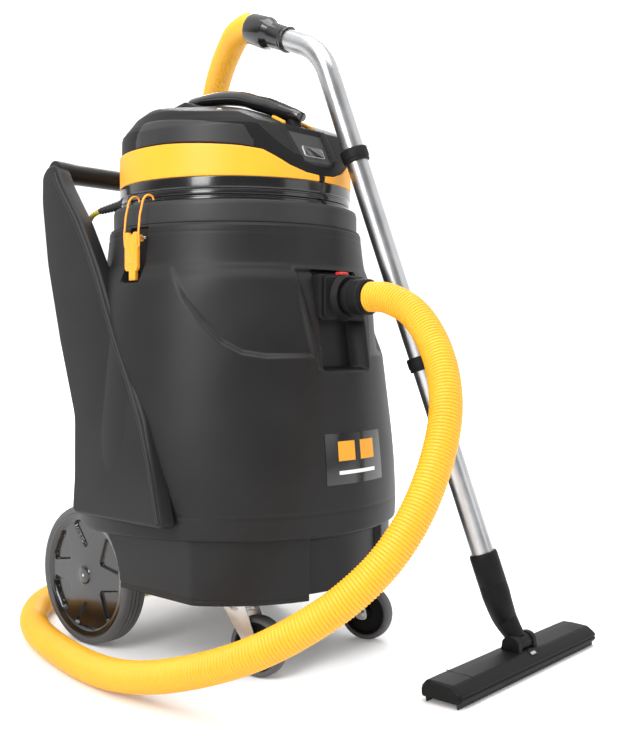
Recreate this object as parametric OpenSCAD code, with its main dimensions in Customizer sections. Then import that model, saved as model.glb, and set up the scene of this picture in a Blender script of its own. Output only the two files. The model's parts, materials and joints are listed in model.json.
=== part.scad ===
// Commercial wet and dry drum vacuum: wheeled drum, latched motor head, suction hose, bent wand, floor tool.
// The drum's axis is vertical. The inlet faces -Y, the trolley handle is at +Y, and the floor is z = 0.

/* [Drum] */
// Largest radius of the drum, just above the chassis
drum_r = 292; // [288:1:296]
// Radius of the drum's open rim
rim_r = 228; // [226:1:230]
// Height of the drum's rim above the floor
rim_z = 738; // [736:1:740]
// Height of the step between the drum and its chassis
ledge_z = 232; // [228:1:236]
// Wall thickness of the drum
drum_wall = 5; // [4:0.5:6]

/* [Head] */
// Radius of the coloured band round the head
band_r = 210; // [208:1:212]
// Height of the top of the head's cover
dome_z = 976; // [970:1:980]
// Height of the top of the carry handle
grip_z = 1010; // [1006:1:1014]

/* [Running gear] */
// Diameter of the rear wheels
wheel_d = 250; // [246:1:250]
// Width of the rear wheels
wheel_w = 48; // [44:1:48]
// Diameter of the front casters' wheels
caster_d = 100; // [96:1:100]
// Distance from a caster's swivel axis to its wheel's axle
caster_trail = 35; // [30:1:36]

/* [Suction set] */
// Outer diameter of the suction hose
hose_d = 50; // [46:1:50]
// Outer diameter of the steel wand
wand_d = 38; // [36:1:38]
// Width of the floor tool
tool_w = 440; // [420:5:450]

/* [Hidden] */
$fn = 64;

black = "#1c1c1d";
charcoal = "#39393b";
amber = "#f2b233";

// The model's origin is the middle of the machine's footprint on the floor
tool_front = -526;
tool_mid_x = 170;
wing_x = 302;
wheel_y = 170;
tool_left = tool_mid_x - tool_w / 2;
tool_right = tool_mid_x + tool_w / 2;
shift_x = (tool_right - wing_x) / 2;
shift_y = (wheel_y + wheel_d / 2 + tool_front) / 2;

// Drum
chassis_r = 281;
chassis_z = 128;
arch_x = 166;
arch_gap = 8;
chassis_wall = 8;
chassis_flat = 240;
front_half = 92;
front_step = 10;
front_rise = 8;
collar_r = 221;
collar_top = 779;
skirt_top = 818;
band_top = 874;
cover_r = 206;
band_in = 200;
lip_r = 199.6;
lip_in = 194;
cover_wall = 5;
seal_t = 3;
deck_z = 752;
deck_t = 6;
motor_z = 761;
screw_ring = 150;
screw_angles = [35, 145, 215, 325];
rocker_x = 36;
rocker_at = [0, -139, 921];
rocker_tilt = 27;
rocker_pin_r = 1.5;
rocker_r = 17;
rocker_h = 10;
rocker_w = 11.4;
rocker_pocket = [17, 40, 80];

// The two flats of the nose, each as a line in the middle plane: y, height, slope in degrees
nose_flats = [[-105, 946, 28], [-162, 917, 58.5]];
badge_size = [54, 22, 2];
badge_drop = -63;
head_screw_z = [921, 951.5];

// Edge between the band and the nose of the cover, seen from the front, [x, height]
nose_line = [
  [-206, 874], [-178, 871], [-146, 868], [-112, 863], [-90, 852], [-67, 840], [-36, 831], [0, 828],
  [36, 831], [67, 840], [90, 852], [112, 863], [146, 868], [178, 871], [206, 874]
];

// Wheels and casters
wheel_x = 222;
axle_r = 9;
caster_x = 140;
caster_y = -155;
caster_turn = 12;
caster_w = 28;
caster_screw = [15, 26];
pivot_r = 5;
bolt_r = 4;
fork_t = 3;
fork_half = 21;
fork_top = chassis_z - 4;

// Inlet
inlet_z = 620;
block_w = 116;
block_h = 76;
block_y = -261;
spigot_r = 27;
bore_r = 20;
niche_low = 498;
niche_w = 108;
niche_back = -238;

// Latches
latch_pin_z = 718;
latch_pin_x = 236;
latch_pin_r = 2.5;
latch_low = 648;
latch_out = 247;
latch_in = 239;
latch_y = [-19, 13];
recess_floor = 219.5;
backing_in = 213;
bail_x = 243;
bail_z = 704;
bail_r = 1.8;
bail_legs = [-21.5, 15.5];

// Handle bar, and the wings that carry it
bar_r = 21;
bar_y = 262;
bar_z = 860;
wing_z = 258;
wing_lean = 7;
wing_t = 34;

// Motors
motor_ring = 102;
motor_angles = [90, 210, 330];

// Wand: a straight tube from the tool's neck to a bend, and a short stub that the hose's cuff grips
neck_at = [163, -445, 148];
wand_corner = [32, -179, 1053];
stub_rise = 23;
stub_heading = 89;
bend_r = 90;
cuff_start = 84;
cuff_end = 184;
wand_cut = [380, 755];
tool_at = [182, -488, 44];
tool_back = -450;
tool_low = 9;
tool_top = 35;
tool_pin_r = 6;
wand_wall = 1.5;
slip = 0.05;

function unit(v) = v / norm(v);
wand_up = unit(wand_corner - neck_at);
stub_dir = [cos(stub_heading) * cos(stub_rise), sin(stub_heading) * cos(stub_rise), sin(stub_rise)];
wand_len = norm(wand_corner - neck_at);
bend_angle = acos(wand_up * stub_dir);
bend_back = bend_r * tan(bend_angle / 2);
bend_side = unit(stub_dir - (stub_dir * wand_up) * wand_up);
hose_top = wand_corner + (cuff_end + 1.2) * stub_dir;

// Hose route from the inlet, round the left rear wheel, up behind the drum and over to the wand's cuff
hose_route = [
  [0, -314, 620], [0, -350, 617], [-6, -402, 595], [-20, -448, 554], [-43, -487, 500], [-73, -512, 438],
  [-112, -521, 370], [-155, -517, 303], [-199, -498, 243], [-241, -462, 192], [-279, -413, 149],
  [-309, -350, 110], [-329, -270, 76], [-341, -175, 47], [-344, -85, 31], [-337, 0, 26],
  [-322, 85, 26], [-301, 165, 26], [-273, 240, 26], [-230, 315, 26], [-163, 388, 26], [-75, 440, 26],
  [15, 460, 27], [90, 457, 36], [147, 447, 66], [192, 435, 120], [226, 423, 200], [250, 412, 310],
  [260, 404, 460], [260, 394, 600], [258, 382, 710], [254, 366, 805], [245, 344, 890], [229, 318, 950],
  [204, 288, 1000], [170, 246, 1041], [137, 197, 1074], [108, 148, 1101], [83, 102, 1120], [58, 56, 1131],
  [35.2, 2.5, 1130.1], hose_top
];
// Mains lead: from the strain relief, down behind the drum and along the floor to its coil
lead_d = 9;
coil_at = [420, 330];
coil_mean = 72;
coil_w = 36;
coil_h = 36;
plug_size = [44, 44, 26];
plug_at = [400, 258];
relief_at = [-146, 148, 796];
relief_dir = unit([-0.66, 0.7, -0.28]);
relief_len = 44;
lead_route = [
  relief_at + relief_len * relief_dir, [-183, 189, 775], [-186, 196, 758], [-184, 199, 735],
  [-178, 204, 690], [-171, 220, 640], [-165, 242, 580], [-155, 268, 500], [-135, 297, 400], [-110, 318, 290],
  [-80, 334, 180], [-45, 345, 85], [-5, 352, 25], [45, 356, 6], [110, 360, 5], [180, 368, 5], [250, 384, 5],
  [320, 404, 5], [380, 418, 5], [425, 424, 5]
];

module machine() { translate([-shift_x, -shift_y, 0]) children(); }
module both_sides() { children(); mirror([1, 0, 0]) children(); }
module cyl(r, z0, z1) { translate([0, 0, z0]) cylinder(r = r, h = z1 - z0); }
module ring(r_out, r_in, z0, z1) { difference() { cyl(r_out, z0, z1); cyl(r_in, z0 - 1, z1 + 1); } }
// A block given by its lowest and highest corners
module block(a, b) { translate(a) cube(b - a); }
module rod_x(r, x0, x1, y, z) { translate([x0, y, z]) rotate([0, 90, 0]) cylinder(r = r, h = x1 - x0); }
module along(a, dir) {
  translate(a) rotate([0, acos(dir[2]), atan2(dir[1], dir[0])]) children();
}

// A tube of round section swept along a smooth curve through a list of points
function curve_at(p, i, t) =
  let (n = len(p), a = p[max(i - 1, 0)], b = p[i], c = p[min(i + 1, n - 1)], d = p[min(i + 2, n - 1)])
  0.5 * (2 * b + (c - a) * t + (2 * a - 5 * b + 4 * c - d) * t * t + (3 * b - a - 3 * c + d) * t * t * t);
function curve(p, steps) = concat(
  [for (i = [0:len(p) - 2]) for (k = [0:steps - 1]) curve_at(p, i, k / steps)], [p[len(p) - 1]]);
function tangent(p, i) = unit(p[min(i + 1, len(p) - 1)] - p[max(i - 1, 0)]);
function first_side(t) = unit(cross(t, abs(t[2]) < 0.9 ? [0, 0, 1] : [1, 0, 0]));
function sides_from(p, i, u) =
  i == len(p) ? [] :
  let (t = tangent(p, i), v = unit(u - (u * t) * t))
  concat([v], sides_from(p, i + 1, v));
module swept_tube(p, r, sides) {
  n = len(p);
  us = sides_from(p, 0, first_side(tangent(p, 0)));
  points = [for (i = [0:n - 1]) let (w = cross(tangent(p, i), us[i])) for (k = [0:sides - 1])
    p[i] + r * (cos(360 * k / sides) * us[i] + sin(360 * k / sides) * w)];
  walls = [for (i = [0:n - 2]) for (k = [0:sides - 1]) let (m = (k + 1) % sides)
    [i * sides + k, (i + 1) * sides + k, (i + 1) * sides + m, i * sides + m]];
  polyhedron(points, concat(
    [[for (k = [0:sides - 1]) k]], walls, [[for (k = [sides - 1:-1:0]) (n - 1) * sides + k]]));
}

// Outline of the drum's outer wall, [radius, height], from the ledge to the rim
drum_line = [
  [drum_r, ledge_z], [drum_r + 1, 258], [drum_r - 1, 320], [drum_r - 6, 380], [drum_r - 13, 440],
  [drum_r - 24, 530], [drum_r - 37, 620], [drum_r - 51, 675], [rim_r + 2, 723], [rim_r, rim_z]
];
module drum_solid(inset) {
  rotate_extrude($fn = 128) polygon(concat(
    [[0, ledge_z + (inset > 0 ? inset : 0)]],
    [for (p = drum_line) [p[0] - inset, p[1] + (inset > 0 && p[1] == ledge_z ? inset : 0)]],
    [[rim_r - inset, rim_z + (inset > 0 ? 1 : 0)], [0, rim_z + (inset > 0 ? 1 : 0)]]));
}
// One of the two side wings that carry the handle, drawn as a side view and leaned in towards the top
module handle_wing() {
  translate([-wing_x, 0, wing_z]) rotate([0, wing_lean, 0]) rotate([90, 0, 90]) linear_extrude(wing_t)
    polygon([[-145, 0], [-78, 164], [20, 325], [73, 418], [128, 505], [190, 585], [214, 612],
      [240, 626], [276, 626], [290, 606], [286, 560], [252, 440], [186, 290], [118, 162], [98, 60], [92, 0]]);
}
// The space that a rear wheel turns in
module wheel_arch(gap) {
  rod_x(wheel_d / 2 + arch_gap - gap, arch_x + gap, arch_x + 200, wheel_y, wheel_d / 2);
  translate([arch_x + gap, wheel_y - wheel_d / 2 - arch_gap + gap, -50])
    cube([200, wheel_d + 2 * (arch_gap - gap), wheel_d / 2 + 50]);
}
module latch_recess() { block([-262, -25, latch_low - 2], [-recess_floor, 19, rim_z + 3]); }
module drum_shell() {
  color(charcoal) machine() difference() {
    union() {
      difference() {
        drum_solid(0);
        difference() {
          drum_solid(drum_wall);
          both_sides() wheel_arch(-drum_wall);
        }
      }
      both_sides() difference() { handle_wing(); drum_solid(1); }
      both_sides() intersection() {
        block([-255, -31, latch_low - 8], [-backing_in, 25, rim_z]);
        drum_solid(0);
      }
      intersection() { block([-68, -300, niche_low - 8], [68, -226, inlet_z + 48]); drum_solid(0); }
    }
    both_sides() wheel_arch(0);
    both_sides() latch_recess();
    both_sides() latch_pin(latch_pin_r + 0.02);
    block([-block_w / 2 - 0.4, -300, inlet_z - block_h / 2 - 0.4],
      [block_w / 2 + 0.4, -236, inlet_z + block_h / 2 + 0.4]);
    block([-niche_w / 2, -300, niche_low], [niche_w / 2, niche_back, inlet_z]);
    translate([0, -180, inlet_z]) rotate([90, 0, 0]) cylinder(r = spigot_r - 3, h = 70);
    both_sides() rod_x(bar_r + 0.02, -214, -100, bar_y, bar_z);
  }
}
module rear_handle_bar() {
  color(charcoal) machine() rod_x(bar_r, -214, 214, bar_y, bar_z);
}
module wheel_chassis() {
  color(charcoal) machine() difference() {
    union() {
      ring(chassis_r, chassis_r - chassis_wall, chassis_z, ledge_z);
      intersection() {
        ring(chassis_r - 1, chassis_r - front_step - chassis_wall, chassis_z, ledge_z);
        block([-front_half - chassis_wall, -300, 0], [front_half + chassis_wall, -200, 300]);
      }
    }
    difference() {
      block([-front_half, -300, 0], [front_half, -200, ledge_z + 1]);
      cyl(chassis_r - front_step, chassis_z + front_rise, ledge_z + 1);
    }
    both_sides() wheel_arch(0);
    both_sides() block([chassis_flat, -300, 0], [300, 300, ledge_z + 1]);
  }
  color(charcoal) machine() difference() {
    union() {
      cyl(chassis_r - chassis_wall, ledge_z - chassis_wall, ledge_z);
      both_sides() block([116, -210, chassis_z], [165, -100, ledge_z - 8]);
      both_sides() block([140, 140, 95], [165, 200, ledge_z - 8]);
      both_sides() block([233, -150, chassis_z], [240, 26, ledge_z - 8]);
      both_sides() block([157, 30, chassis_z], [165, 225, ledge_z - 8]);
      both_sides() block([157, 26, chassis_z], [240, 33, ledge_z - 8]);
    }
    both_sides() wheel_arch(0);
    rod_x(axle_r + 0.03, -300, 300, wheel_y, wheel_d / 2);
    both_sides() for (x = [-1, 1] * caster_screw[0], y = [-1, 1] * caster_screw[1])
      translate([caster_x + x, caster_y + y, chassis_z - 1]) cylinder(r = 2.9, h = 20);
  }
}
module clamp_collar() {
  color("#4a4a4c") machine() ring(collar_r, 196, rim_z + seal_t, collar_top);
}
module rim_seal() { color(black) machine() ring(226, 214, rim_z, rim_z + seal_t); }
module motor_deck() {
  color(black) machine() difference() {
    cyl(195.7, deck_z, deck_z + deck_t);
    for (a = motor_angles) rotate(a) translate([motor_ring, 0, deck_z - 10]) cylinder(r = 34, h = 30);
  }
}
module head_skirt() {
  color(black) machine() difference() {
    union() {
      cyl(204, collar_top, skirt_top);
      for (z = [788, 799, 809]) cyl(208, z, z + 5);
    }
    cyl(198, collar_top - 1, skirt_top + 1);
  }
}
// Everything in front of the drum's axis and above the nose's edge
module above_nose() {
  rotate([90, 0, 0]) linear_extrude(300) polygon(concat(nose_line, [[206, 1000], [-206, 1000]]));
}
// The band stands full height at the sides and rear, and dips under the nose at the front
module head_band() {
  color(amber) machine() difference() {
    ring(band_r, band_in, skirt_top, band_top);
    above_nose();
    block([-6, -215, skirt_top - 1], [6, -190, skirt_top + 30]);
  }
}
cover_line = [
  [0, dome_z], [60, dome_z - 1], [110, dome_z - 7], [150, dome_z - 19], [182, dome_z - 38],
  [199, dome_z - 56], [cover_r, band_top + 28], [cover_r, band_top]
];
module cover_solid(inset) {
  rotate_extrude($fn = 96) polygon(concat(
    [for (p = cover_line) [max(0, p[0] - inset), p[1] - (p[1] > band_top ? inset : 0)]], [[0, band_top]]));
}
// Everything above the nose's flats, or above a skin this far under them
module above_flats(inset) {
  for (flat = nose_flats) translate([0, flat[0], flat[1]]) rotate([flat[2], 0, 0])
    block([-250, -250, -inset], [250, 250, 200]);
}
module head_cover() {
  color(black) machine() difference() {
    union() {
      difference() {
        union() {
          cover_solid(0);
          intersection() { cyl(cover_r, skirt_top, band_top); above_nose(); }
        }
        difference() {
          union() {
            cover_solid(cover_wall);
            cyl(band_in, skirt_top - 1, band_top + 1);
          }
          above_flats(cover_wall);
        }
      }
      ring(cover_r, lip_in, band_top, band_top + cover_wall);
      ring(lip_r, lip_in, skirt_top, band_top + 1);
    }
    above_flats(0);
    for (x = [-rocker_x, rocker_x]) rocker_place(x) cube(rocker_pocket, center = true);
    for (a = screw_angles) rotate(a) translate([screw_ring, 0, 900]) cylinder(r = 2.6, h = 80);
  }
}
// The carry handle's line, [y, z, radius], from its rear foot to its front foot
grip_line = [
  [112, grip_z - 11, 10], [60, grip_z - 12, 12], [0, grip_z - 17, 12], [-38, grip_z - 25, 13],
  [-75, grip_z - 36, 13.3], [-103, grip_z - 46, 13.5], [-130, grip_z - 57, 13.5], [-150, grip_z - 66, 12]
];
module carry_grip() {
  color(black) machine() {
    for (i = [0:len(grip_line) - 2]) hull() for (g = [grip_line[i], grip_line[i + 1]])
      translate([0, g[0], g[1]]) scale([1.35, 1, 1]) sphere(g[2], $fn = 24);
    translate([0, 112, dome_z - 12]) cylinder(r = 14, h = 38);
    translate([0, -152, 905]) cylinder(r = 14, h = 34);
  }
}
module badge_plate() {
  color("#8c8c8e") machine() translate([0, nose_flats[1][0], nose_flats[1][1]])
    rotate([nose_flats[1][2], 0, 0]) translate([-badge_size[0] / 2, badge_drop, 0.2]) cube(badge_size);
}
// The drum's outline where the label lies on it
label_line = [[drum_r - 0.6, 312], [drum_r - 1, 320], [drum_r - 6, 380], [drum_r - 8, 398]];
module label_plate() {
  color("#1a1a1a") machine() intersection() {
    rotate_extrude($fn = 128) polygon(concat(
      [for (p = label_line) p + [0.2, 0]], [for (i = [3:-1:0]) label_line[i] + [1.8, 0]]));
    block([-72, -400, 300], [72, 0, 400]);
  }
}
module suction_motors() {
  color("silver") machine() for (a = motor_angles) rotate(a) translate([motor_ring, 0, 0]) {
    cyl(60, motor_z, 800);
    cyl(44, 800, 868);
    cyl(12, 868, 880);
  }
}
module motor_gaskets() {
  color(black) machine() for (a = motor_angles) rotate(a) translate([motor_ring, 0, 0])
    ring(62, 46, deck_z + deck_t, motor_z);
}
module sound_foam() { color("#5a5a5a") machine() ring(192, 176, 762, 840); }
module float_cage() {
  color(black) machine() difference() {
    cyl(52, 640, 752);
    cyl(49, 643, 753);
    for (a = [0:45:315]) rotate(a) translate([0, 0, 655]) block([30, -9, 0], [60, 9, 80]);
  }
}
module float_ball() { color("#d8d8d8") machine() translate([0, 0, 680.5]) sphere(r = 37); }
module cloth_filter() {
  color("#e6e3da") machine() difference() {
    union() { cyl(120, 560, 752); cyl(150, 744, 752); }
    cyl(117, 563, 753);
  }
}
module rocker_place(x) {
  translate(rocker_at + [x, 0, 0]) rotate([rocker_tilt, 0, 0]) children();
}
module switch_housings() {
  color(black) machine() for (x = [-rocker_x, rocker_x]) rocker_place(x) difference() {
    translate([0, 0, -18]) cube([16.6, 39.6, 44], center = true);
    translate([0, 0, 1]) cube([rocker_w + 0.6, 2 * rocker_r + 1, 18], center = true);
    rotate([0, 90, 0]) cylinder(r = rocker_pin_r + slip, h = 40, center = true);
  }
}
module rocker(x) {
  color(amber) machine() rocker_place(x) {
    intersection() {
      rotate([0, 90, 0]) cylinder(r = rocker_r, h = rocker_w, center = true);
      translate([-rocker_w / 2, -rocker_r, 0]) cube([rocker_w, 2 * rocker_r, rocker_h]);
    }
    rotate([0, 90, 0]) cylinder(r = rocker_pin_r, h = 16, center = true);
  }
}
module rocker_left() { rocker(-rocker_x); }
module rocker_right() { rocker(rocker_x); }
module inlet_block() {
  color(black) machine() difference() {
    union() {
      block([-block_w / 2, block_y, inlet_z - block_h / 2], [block_w / 2, -236.4, inlet_z + block_h / 2]);
      translate([0, block_y + 1, inlet_z]) rotate([90, 0, 0]) cylinder(r = spigot_r + 9, h = 12);
    }
    translate([0, -230, inlet_z]) rotate([90, 0, 0]) cylinder(r = spigot_r + 0.05, h = 60);
    block([-11, -262, inlet_z + 28], [11, -245, inlet_z + 50]);
  }
}
module inlet_deflector() {
  color(black) machine() difference() {
    union() {
      translate([0, -170, inlet_z]) rotate([90, 0, 0]) cylinder(r = spigot_r - 3.2, h = 66);
      translate([0, -170, inlet_z]) sphere(r = spigot_r - 3.2);
      translate([0, -170, 560]) cylinder(r = spigot_r - 3.2, h = inlet_z - 560);
    }
    translate([0, -170, inlet_z]) rotate([90, 0, 0]) cylinder(r = bore_r, h = 70);
    translate([0, -170, inlet_z]) sphere(r = bore_r);
    translate([0, -170, 550]) cylinder(r = bore_r, h = inlet_z - 550);
  }
}
module hose_bayonet() {
  color(black) machine() difference() {
    union() {
      translate([0, -238, inlet_z]) rotate([90, 0, 0]) cylinder(r = spigot_r, h = 66);
      translate([0, -276, inlet_z]) rotate([90, 0, 0]) cylinder(r = spigot_r + 3, h = 38);
    }
    translate([0, -230, inlet_z]) rotate([90, 0, 0]) cylinder(r = bore_r, h = 100);
  }
}
module release_button() {
  color("crimson") machine() block([-10, -261, inlet_z + 32], [10, -247, inlet_z + block_h / 2 + 5]);
}
module strain_relief() {
  color(black) machine() along(lead_route[0] - relief_len * relief_dir, relief_dir)
    cylinder(r1 = 9, r2 = 6, h = relief_len);
}
module rear_axle() {
  color("silver") machine() rod_x(axle_r, -wheel_x + 8, wheel_x - 8, wheel_y, wheel_d / 2);
}
module caster_plates() {
  color("silver") machine() both_sides() difference() {
    union() {
      block([caster_x - 22, caster_y - 34, fork_top], [caster_x + 22, caster_y + 34, chassis_z]);
      translate([caster_x, caster_y, fork_top - 6]) cylinder(r = 18, h = 6);
      translate([caster_x, caster_y, fork_top - 22]) cylinder(r = pivot_r, h = 22);
      translate([caster_x, caster_y, fork_top - 25]) cylinder(r = 8, h = 3);
    }
    for (x = [-1, 1] * caster_screw[0], y = [-1, 1] * caster_screw[1])
      translate([caster_x + x, caster_y + y, 100]) cylinder(r = 3, h = 40);
  }
}
module caster_screws() {
  color("silver") machine() both_sides() for (x = [-1, 1] * caster_screw[0], y = [-1, 1] * caster_screw[1])
    translate([caster_x + x, caster_y + y, 0]) {
      cyl(2.85, fork_top, chassis_z + 16);
      cyl(5, fork_top - 3, fork_top);
    }
}
module head_screws() {
  color("silver") machine() for (a = screw_angles) rotate(a) translate([screw_ring, 0, 0])
    cyl(2.5, head_screw_z[0], head_screw_z[1]);
}
module latch_pin(r) {
  translate([-latch_pin_x, -30, latch_pin_z]) rotate([-90, 0, 0]) cylinder(r = r, h = 54);
}
module latch_pins() { color("silver") machine() both_sides() latch_pin(latch_pin_r); }

module wheel_at(side) {
  translate([side * wheel_x, wheel_y, wheel_d / 2]) rotate([0, -90 * side, 0]) children();
}
module wheel_hub(side) {
  color(black) machine() wheel_at(side) difference() {
    union() {
      ring(wheel_d / 2 - 13, wheel_d / 2 - 20, 2, wheel_w - 2);
      cyl(wheel_d / 2 - 19, 8, 12);
      cyl(20, 4, wheel_w);
      for (a = [0:60:300]) rotate(a) block([15, -4, 10], [wheel_d / 2 - 18, 4, wheel_w - 6]);
    }
    translate([0, 0, -1]) cylinder(r = axle_r + slip, h = wheel_w + 2);
    for (a = [30:60:330]) rotate(a) translate([62, 0, 0]) cylinder(r = 19, h = wheel_w);
  }
}
module wheel_tyre(side) {
  color("#58585a") machine() wheel_at(side) difference() {
    union() {
      cyl(wheel_d / 2 - 4, 0, wheel_w);
      cyl(wheel_d / 2, 5, wheel_w - 5);
    }
    cyl(wheel_d / 2 - 13, -1, wheel_w + 1);
    for (z = [18, 30]) ring(wheel_d / 2 + 1, wheel_d / 2 - 3, z, z + 3);
  }
}
module wheel_hub_left() { wheel_hub(-1); }
module wheel_hub_right() { wheel_hub(1); }
module wheel_tyre_left() { wheel_tyre(-1); }
module wheel_tyre_right() { wheel_tyre(1); }

// A caster's own space: its swivel axis at x = y = 0, its wheel trailing along -Y
module caster_at(side) {
  translate([side * caster_x, caster_y, 0]) rotate(caster_turn) children();
}
module caster_fork(side) {
  color("silver") machine() caster_at(side) difference() {
    union() {
      translate([0, 0, fork_top - 19]) cylinder(r = 23, h = 12.8);
      for (x = [-fork_half, fork_half - fork_t]) hull() {
        block([x, -20, fork_top - 19], [x + fork_t, 20, fork_top - 7]);
        translate([x, -caster_trail, caster_d / 2]) rotate([0, 90, 0]) cylinder(r = 11, h = fork_t, $fn = 32);
      }
    }
    translate([0, 0, fork_top - 30]) cylinder(r = pivot_r + slip, h = 30);
    translate([-30, -caster_trail, caster_d / 2]) rotate([0, 90, 0]) cylinder(r = bolt_r + 0.02, h = 60);
  }
}
module caster_bolt(side) {
  color("silver") machine() caster_at(side) translate([0, -caster_trail, caster_d / 2]) rotate([0, 90, 0]) {
    cyl(bolt_r, -25, 25);
    for (z = [-25.2, 21.2]) bolt_head(z);
  }
}
module bolt_head(z) { translate([0, 0, z]) cylinder(r = 7, h = 4, $fn = 6); }
module caster_wheel(side) {
  color(black) machine() caster_at(side) translate([0, -caster_trail, caster_d / 2]) rotate([0, 90, 0])
    difference() {
      union() {
        cyl(14, -caster_w / 2 - 3, caster_w / 2 + 3);
        cyl(caster_d / 2 - 12, -6, 6);
        ring(caster_d / 2 - 10, caster_d / 2 - 14, -caster_w / 2 + 2, caster_w / 2 - 2);
      }
      cyl(bolt_r + slip, -40, 40);
    }
}
module caster_tyre(side) {
  color("#7a7a7c") machine() caster_at(side) translate([0, -caster_trail, caster_d / 2]) rotate([0, 90, 0])
    difference() {
      union() {
        cyl(caster_d / 2 - 3, -caster_w / 2, caster_w / 2);
        cyl(caster_d / 2, -caster_w / 2 + 5, caster_w / 2 - 5);
      }
      cyl(caster_d / 2 - 10, -40, 40);
    }
}
module caster_fork_left() { caster_fork(-1); }
module caster_fork_right() { caster_fork(1); }
module caster_bolt_left() { caster_bolt(-1); }
module caster_bolt_right() { caster_bolt(1); }
module caster_wheel_left() { caster_wheel(-1); }
module caster_wheel_right() { caster_wheel(1); }
module caster_tyre_left() { caster_tyre(-1); }
module caster_tyre_right() { caster_tyre(1); }

module latch_lever() {
  color(amber) machine() difference() {
    union() {
      block([-latch_out, latch_y[0], 664], [-latch_in, latch_y[1], 728]);
      block([-latch_out, -14, latch_low], [-latch_in, 2, 664]);
      translate([-latch_pin_x, latch_y[0], latch_pin_z]) rotate([-90, 0, 0]) cylinder(r = 6, h = 32);
    }
    latch_pin(latch_pin_r + slip);
    translate([-243, -3, 734]) rotate([0, 90, 0]) cylinder(r = 9, h = 20, center = true, $fn = 4);
    translate([-bail_x, -40, bail_z]) rotate([-90, 0, 0]) cylinder(r = bail_r + slip, h = 80);
  }
}
bail_line = [
  [-bail_x, bail_z], [-244.5, 724], [-241, 756], [-234, 782], [-228, 789], [-220, 791], [-213.5, 788],
  [-211.5, 783]
];
module bail_leg(y) {
  for (i = [0:len(bail_line) - 2]) hull() for (p = [bail_line[i], bail_line[i + 1]])
    translate([p[0], y, p[1]]) sphere(r = bail_r, $fn = 10);
}
module latch_bail() {
  color(amber) machine() {
    translate([-bail_x, -22, bail_z]) rotate([-90, 0, 0]) cylinder(r = bail_r, h = 38);
    for (y = bail_legs) bail_leg(y);
  }
}
module latch_lever_left() { latch_lever(); }
module latch_bail_left() { latch_bail(); }
module latch_lever_right() { translate([-2 * shift_x, 0, 0]) mirror([1, 0, 0]) latch_lever(); }
module latch_bail_right() { translate([-2 * shift_x, 0, 0]) mirror([1, 0, 0]) latch_bail(); }

module suction_hose() {
  color(amber) machine() swept_tube(curve(hose_route, 2), hose_d / 2, 12);
}
module mains_lead() { color("#8f8a2a") machine() swept_tube(curve(lead_route, 1), lead_d / 2, 8); }
module lead_coil() {
  color("#8f8a2a") machine() translate([coil_at[0], coil_at[1], 0])
    ring(coil_mean + coil_w / 2, coil_mean - coil_w / 2, 0, coil_h);
}
module mains_plug() {
  color(black) machine() translate([plug_at[0] - plug_size[0] / 2, plug_at[1] - plug_size[1] / 2, coil_h])
    cube(plug_size);
}

// Wand pieces are drawn along their own axis and set on the wand's line
module wand_tube(a, b) {
  color("#c9ccd0") machine() along(neck_at + a * wand_up, wand_up)
    ring(wand_d / 2, wand_d / 2 - wand_wall, 0, b - a);
}
module wand_lower_tube() { wand_tube(0, wand_cut[0]); }
module wand_middle_tube() { wand_tube(wand_cut[0] + 0.2, wand_cut[1]); }
// The top tube's line: up from the middle tube, round the bend and along the stub
module wand_top_line(r, extra) {
  centre = wand_corner - bend_back * wand_up + bend_r * bend_side;
  swept_tube(concat(
    [neck_at + (wand_cut[1] + 0.2 - extra) * wand_up],
    [for (k = [0:6]) let (a = bend_angle * k / 6)
      centre - bend_r * cos(a) * bend_side + bend_r * sin(a) * wand_up],
    [wand_corner + (cuff_start + 40 + extra) * stub_dir]), r, 24);
}
module wand_top_tube() {
  color("#c9ccd0") machine() difference() {
    wand_top_line(wand_d / 2, 0);
    wand_top_line(wand_d / 2 - wand_wall, 1);
  }
}
module wand_collars() {
  color(black) machine() for (z = wand_cut) along(neck_at + z * wand_up, wand_up) difference() {
    union() {
      cyl(wand_d / 2 + 5, -11, 13);
      block([wand_d / 2, -6, -9], [wand_d / 2 + 11, 6, 9]);
    }
    cylinder(r = wand_d / 2 + slip, h = 80, center = true);
  }
}
module wand_cuff() {
  color(black) machine() along(wand_corner + cuff_start * stub_dir, stub_dir) difference() {
    union() {
      cyl(wand_d / 2 + 4, 0, 44);
      translate([0, 0, 40]) cylinder(r1 = wand_d / 2 + 4, r2 = hose_d / 2 + 4, h = 14);
      cyl(hose_d / 2 + 4, 54, cuff_end - cuff_start);
    }
    translate([0, 0, -1]) cylinder(r = wand_d / 2 + slip, h = 42);
    translate([0, 0, 40]) cylinder(r = wand_d / 2 - 2, h = 100);
  }
}
module tool_neck() {
  color(black) machine() difference() {
    union() {
      along(neck_at, wand_up) difference() {
        cyl(wand_d / 2 + 5, -8, 46);
        cyl(wand_d / 2 + slip, 0, 47);
      }
      hull() {
        along(neck_at - 20 * wand_up, wand_up) cylinder(r = wand_d / 2 + 4, h = 14, $fn = 32);
        translate([tool_at[0], tool_at[1] + 26, 78]) sphere(r = 16.5, $fn = 24);
      }
      hull() {
        translate([tool_at[0], tool_at[1] + 26, 78]) sphere(r = 16.5, $fn = 24);
        translate(tool_at - [17, 0, 0]) rotate([0, 90, 0]) cylinder(r = 15, h = 34, $fn = 32);
      }
    }
    rod_x(tool_pin_r + slip, 0, 400, tool_at[1], tool_at[2]);
  }
}
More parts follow.
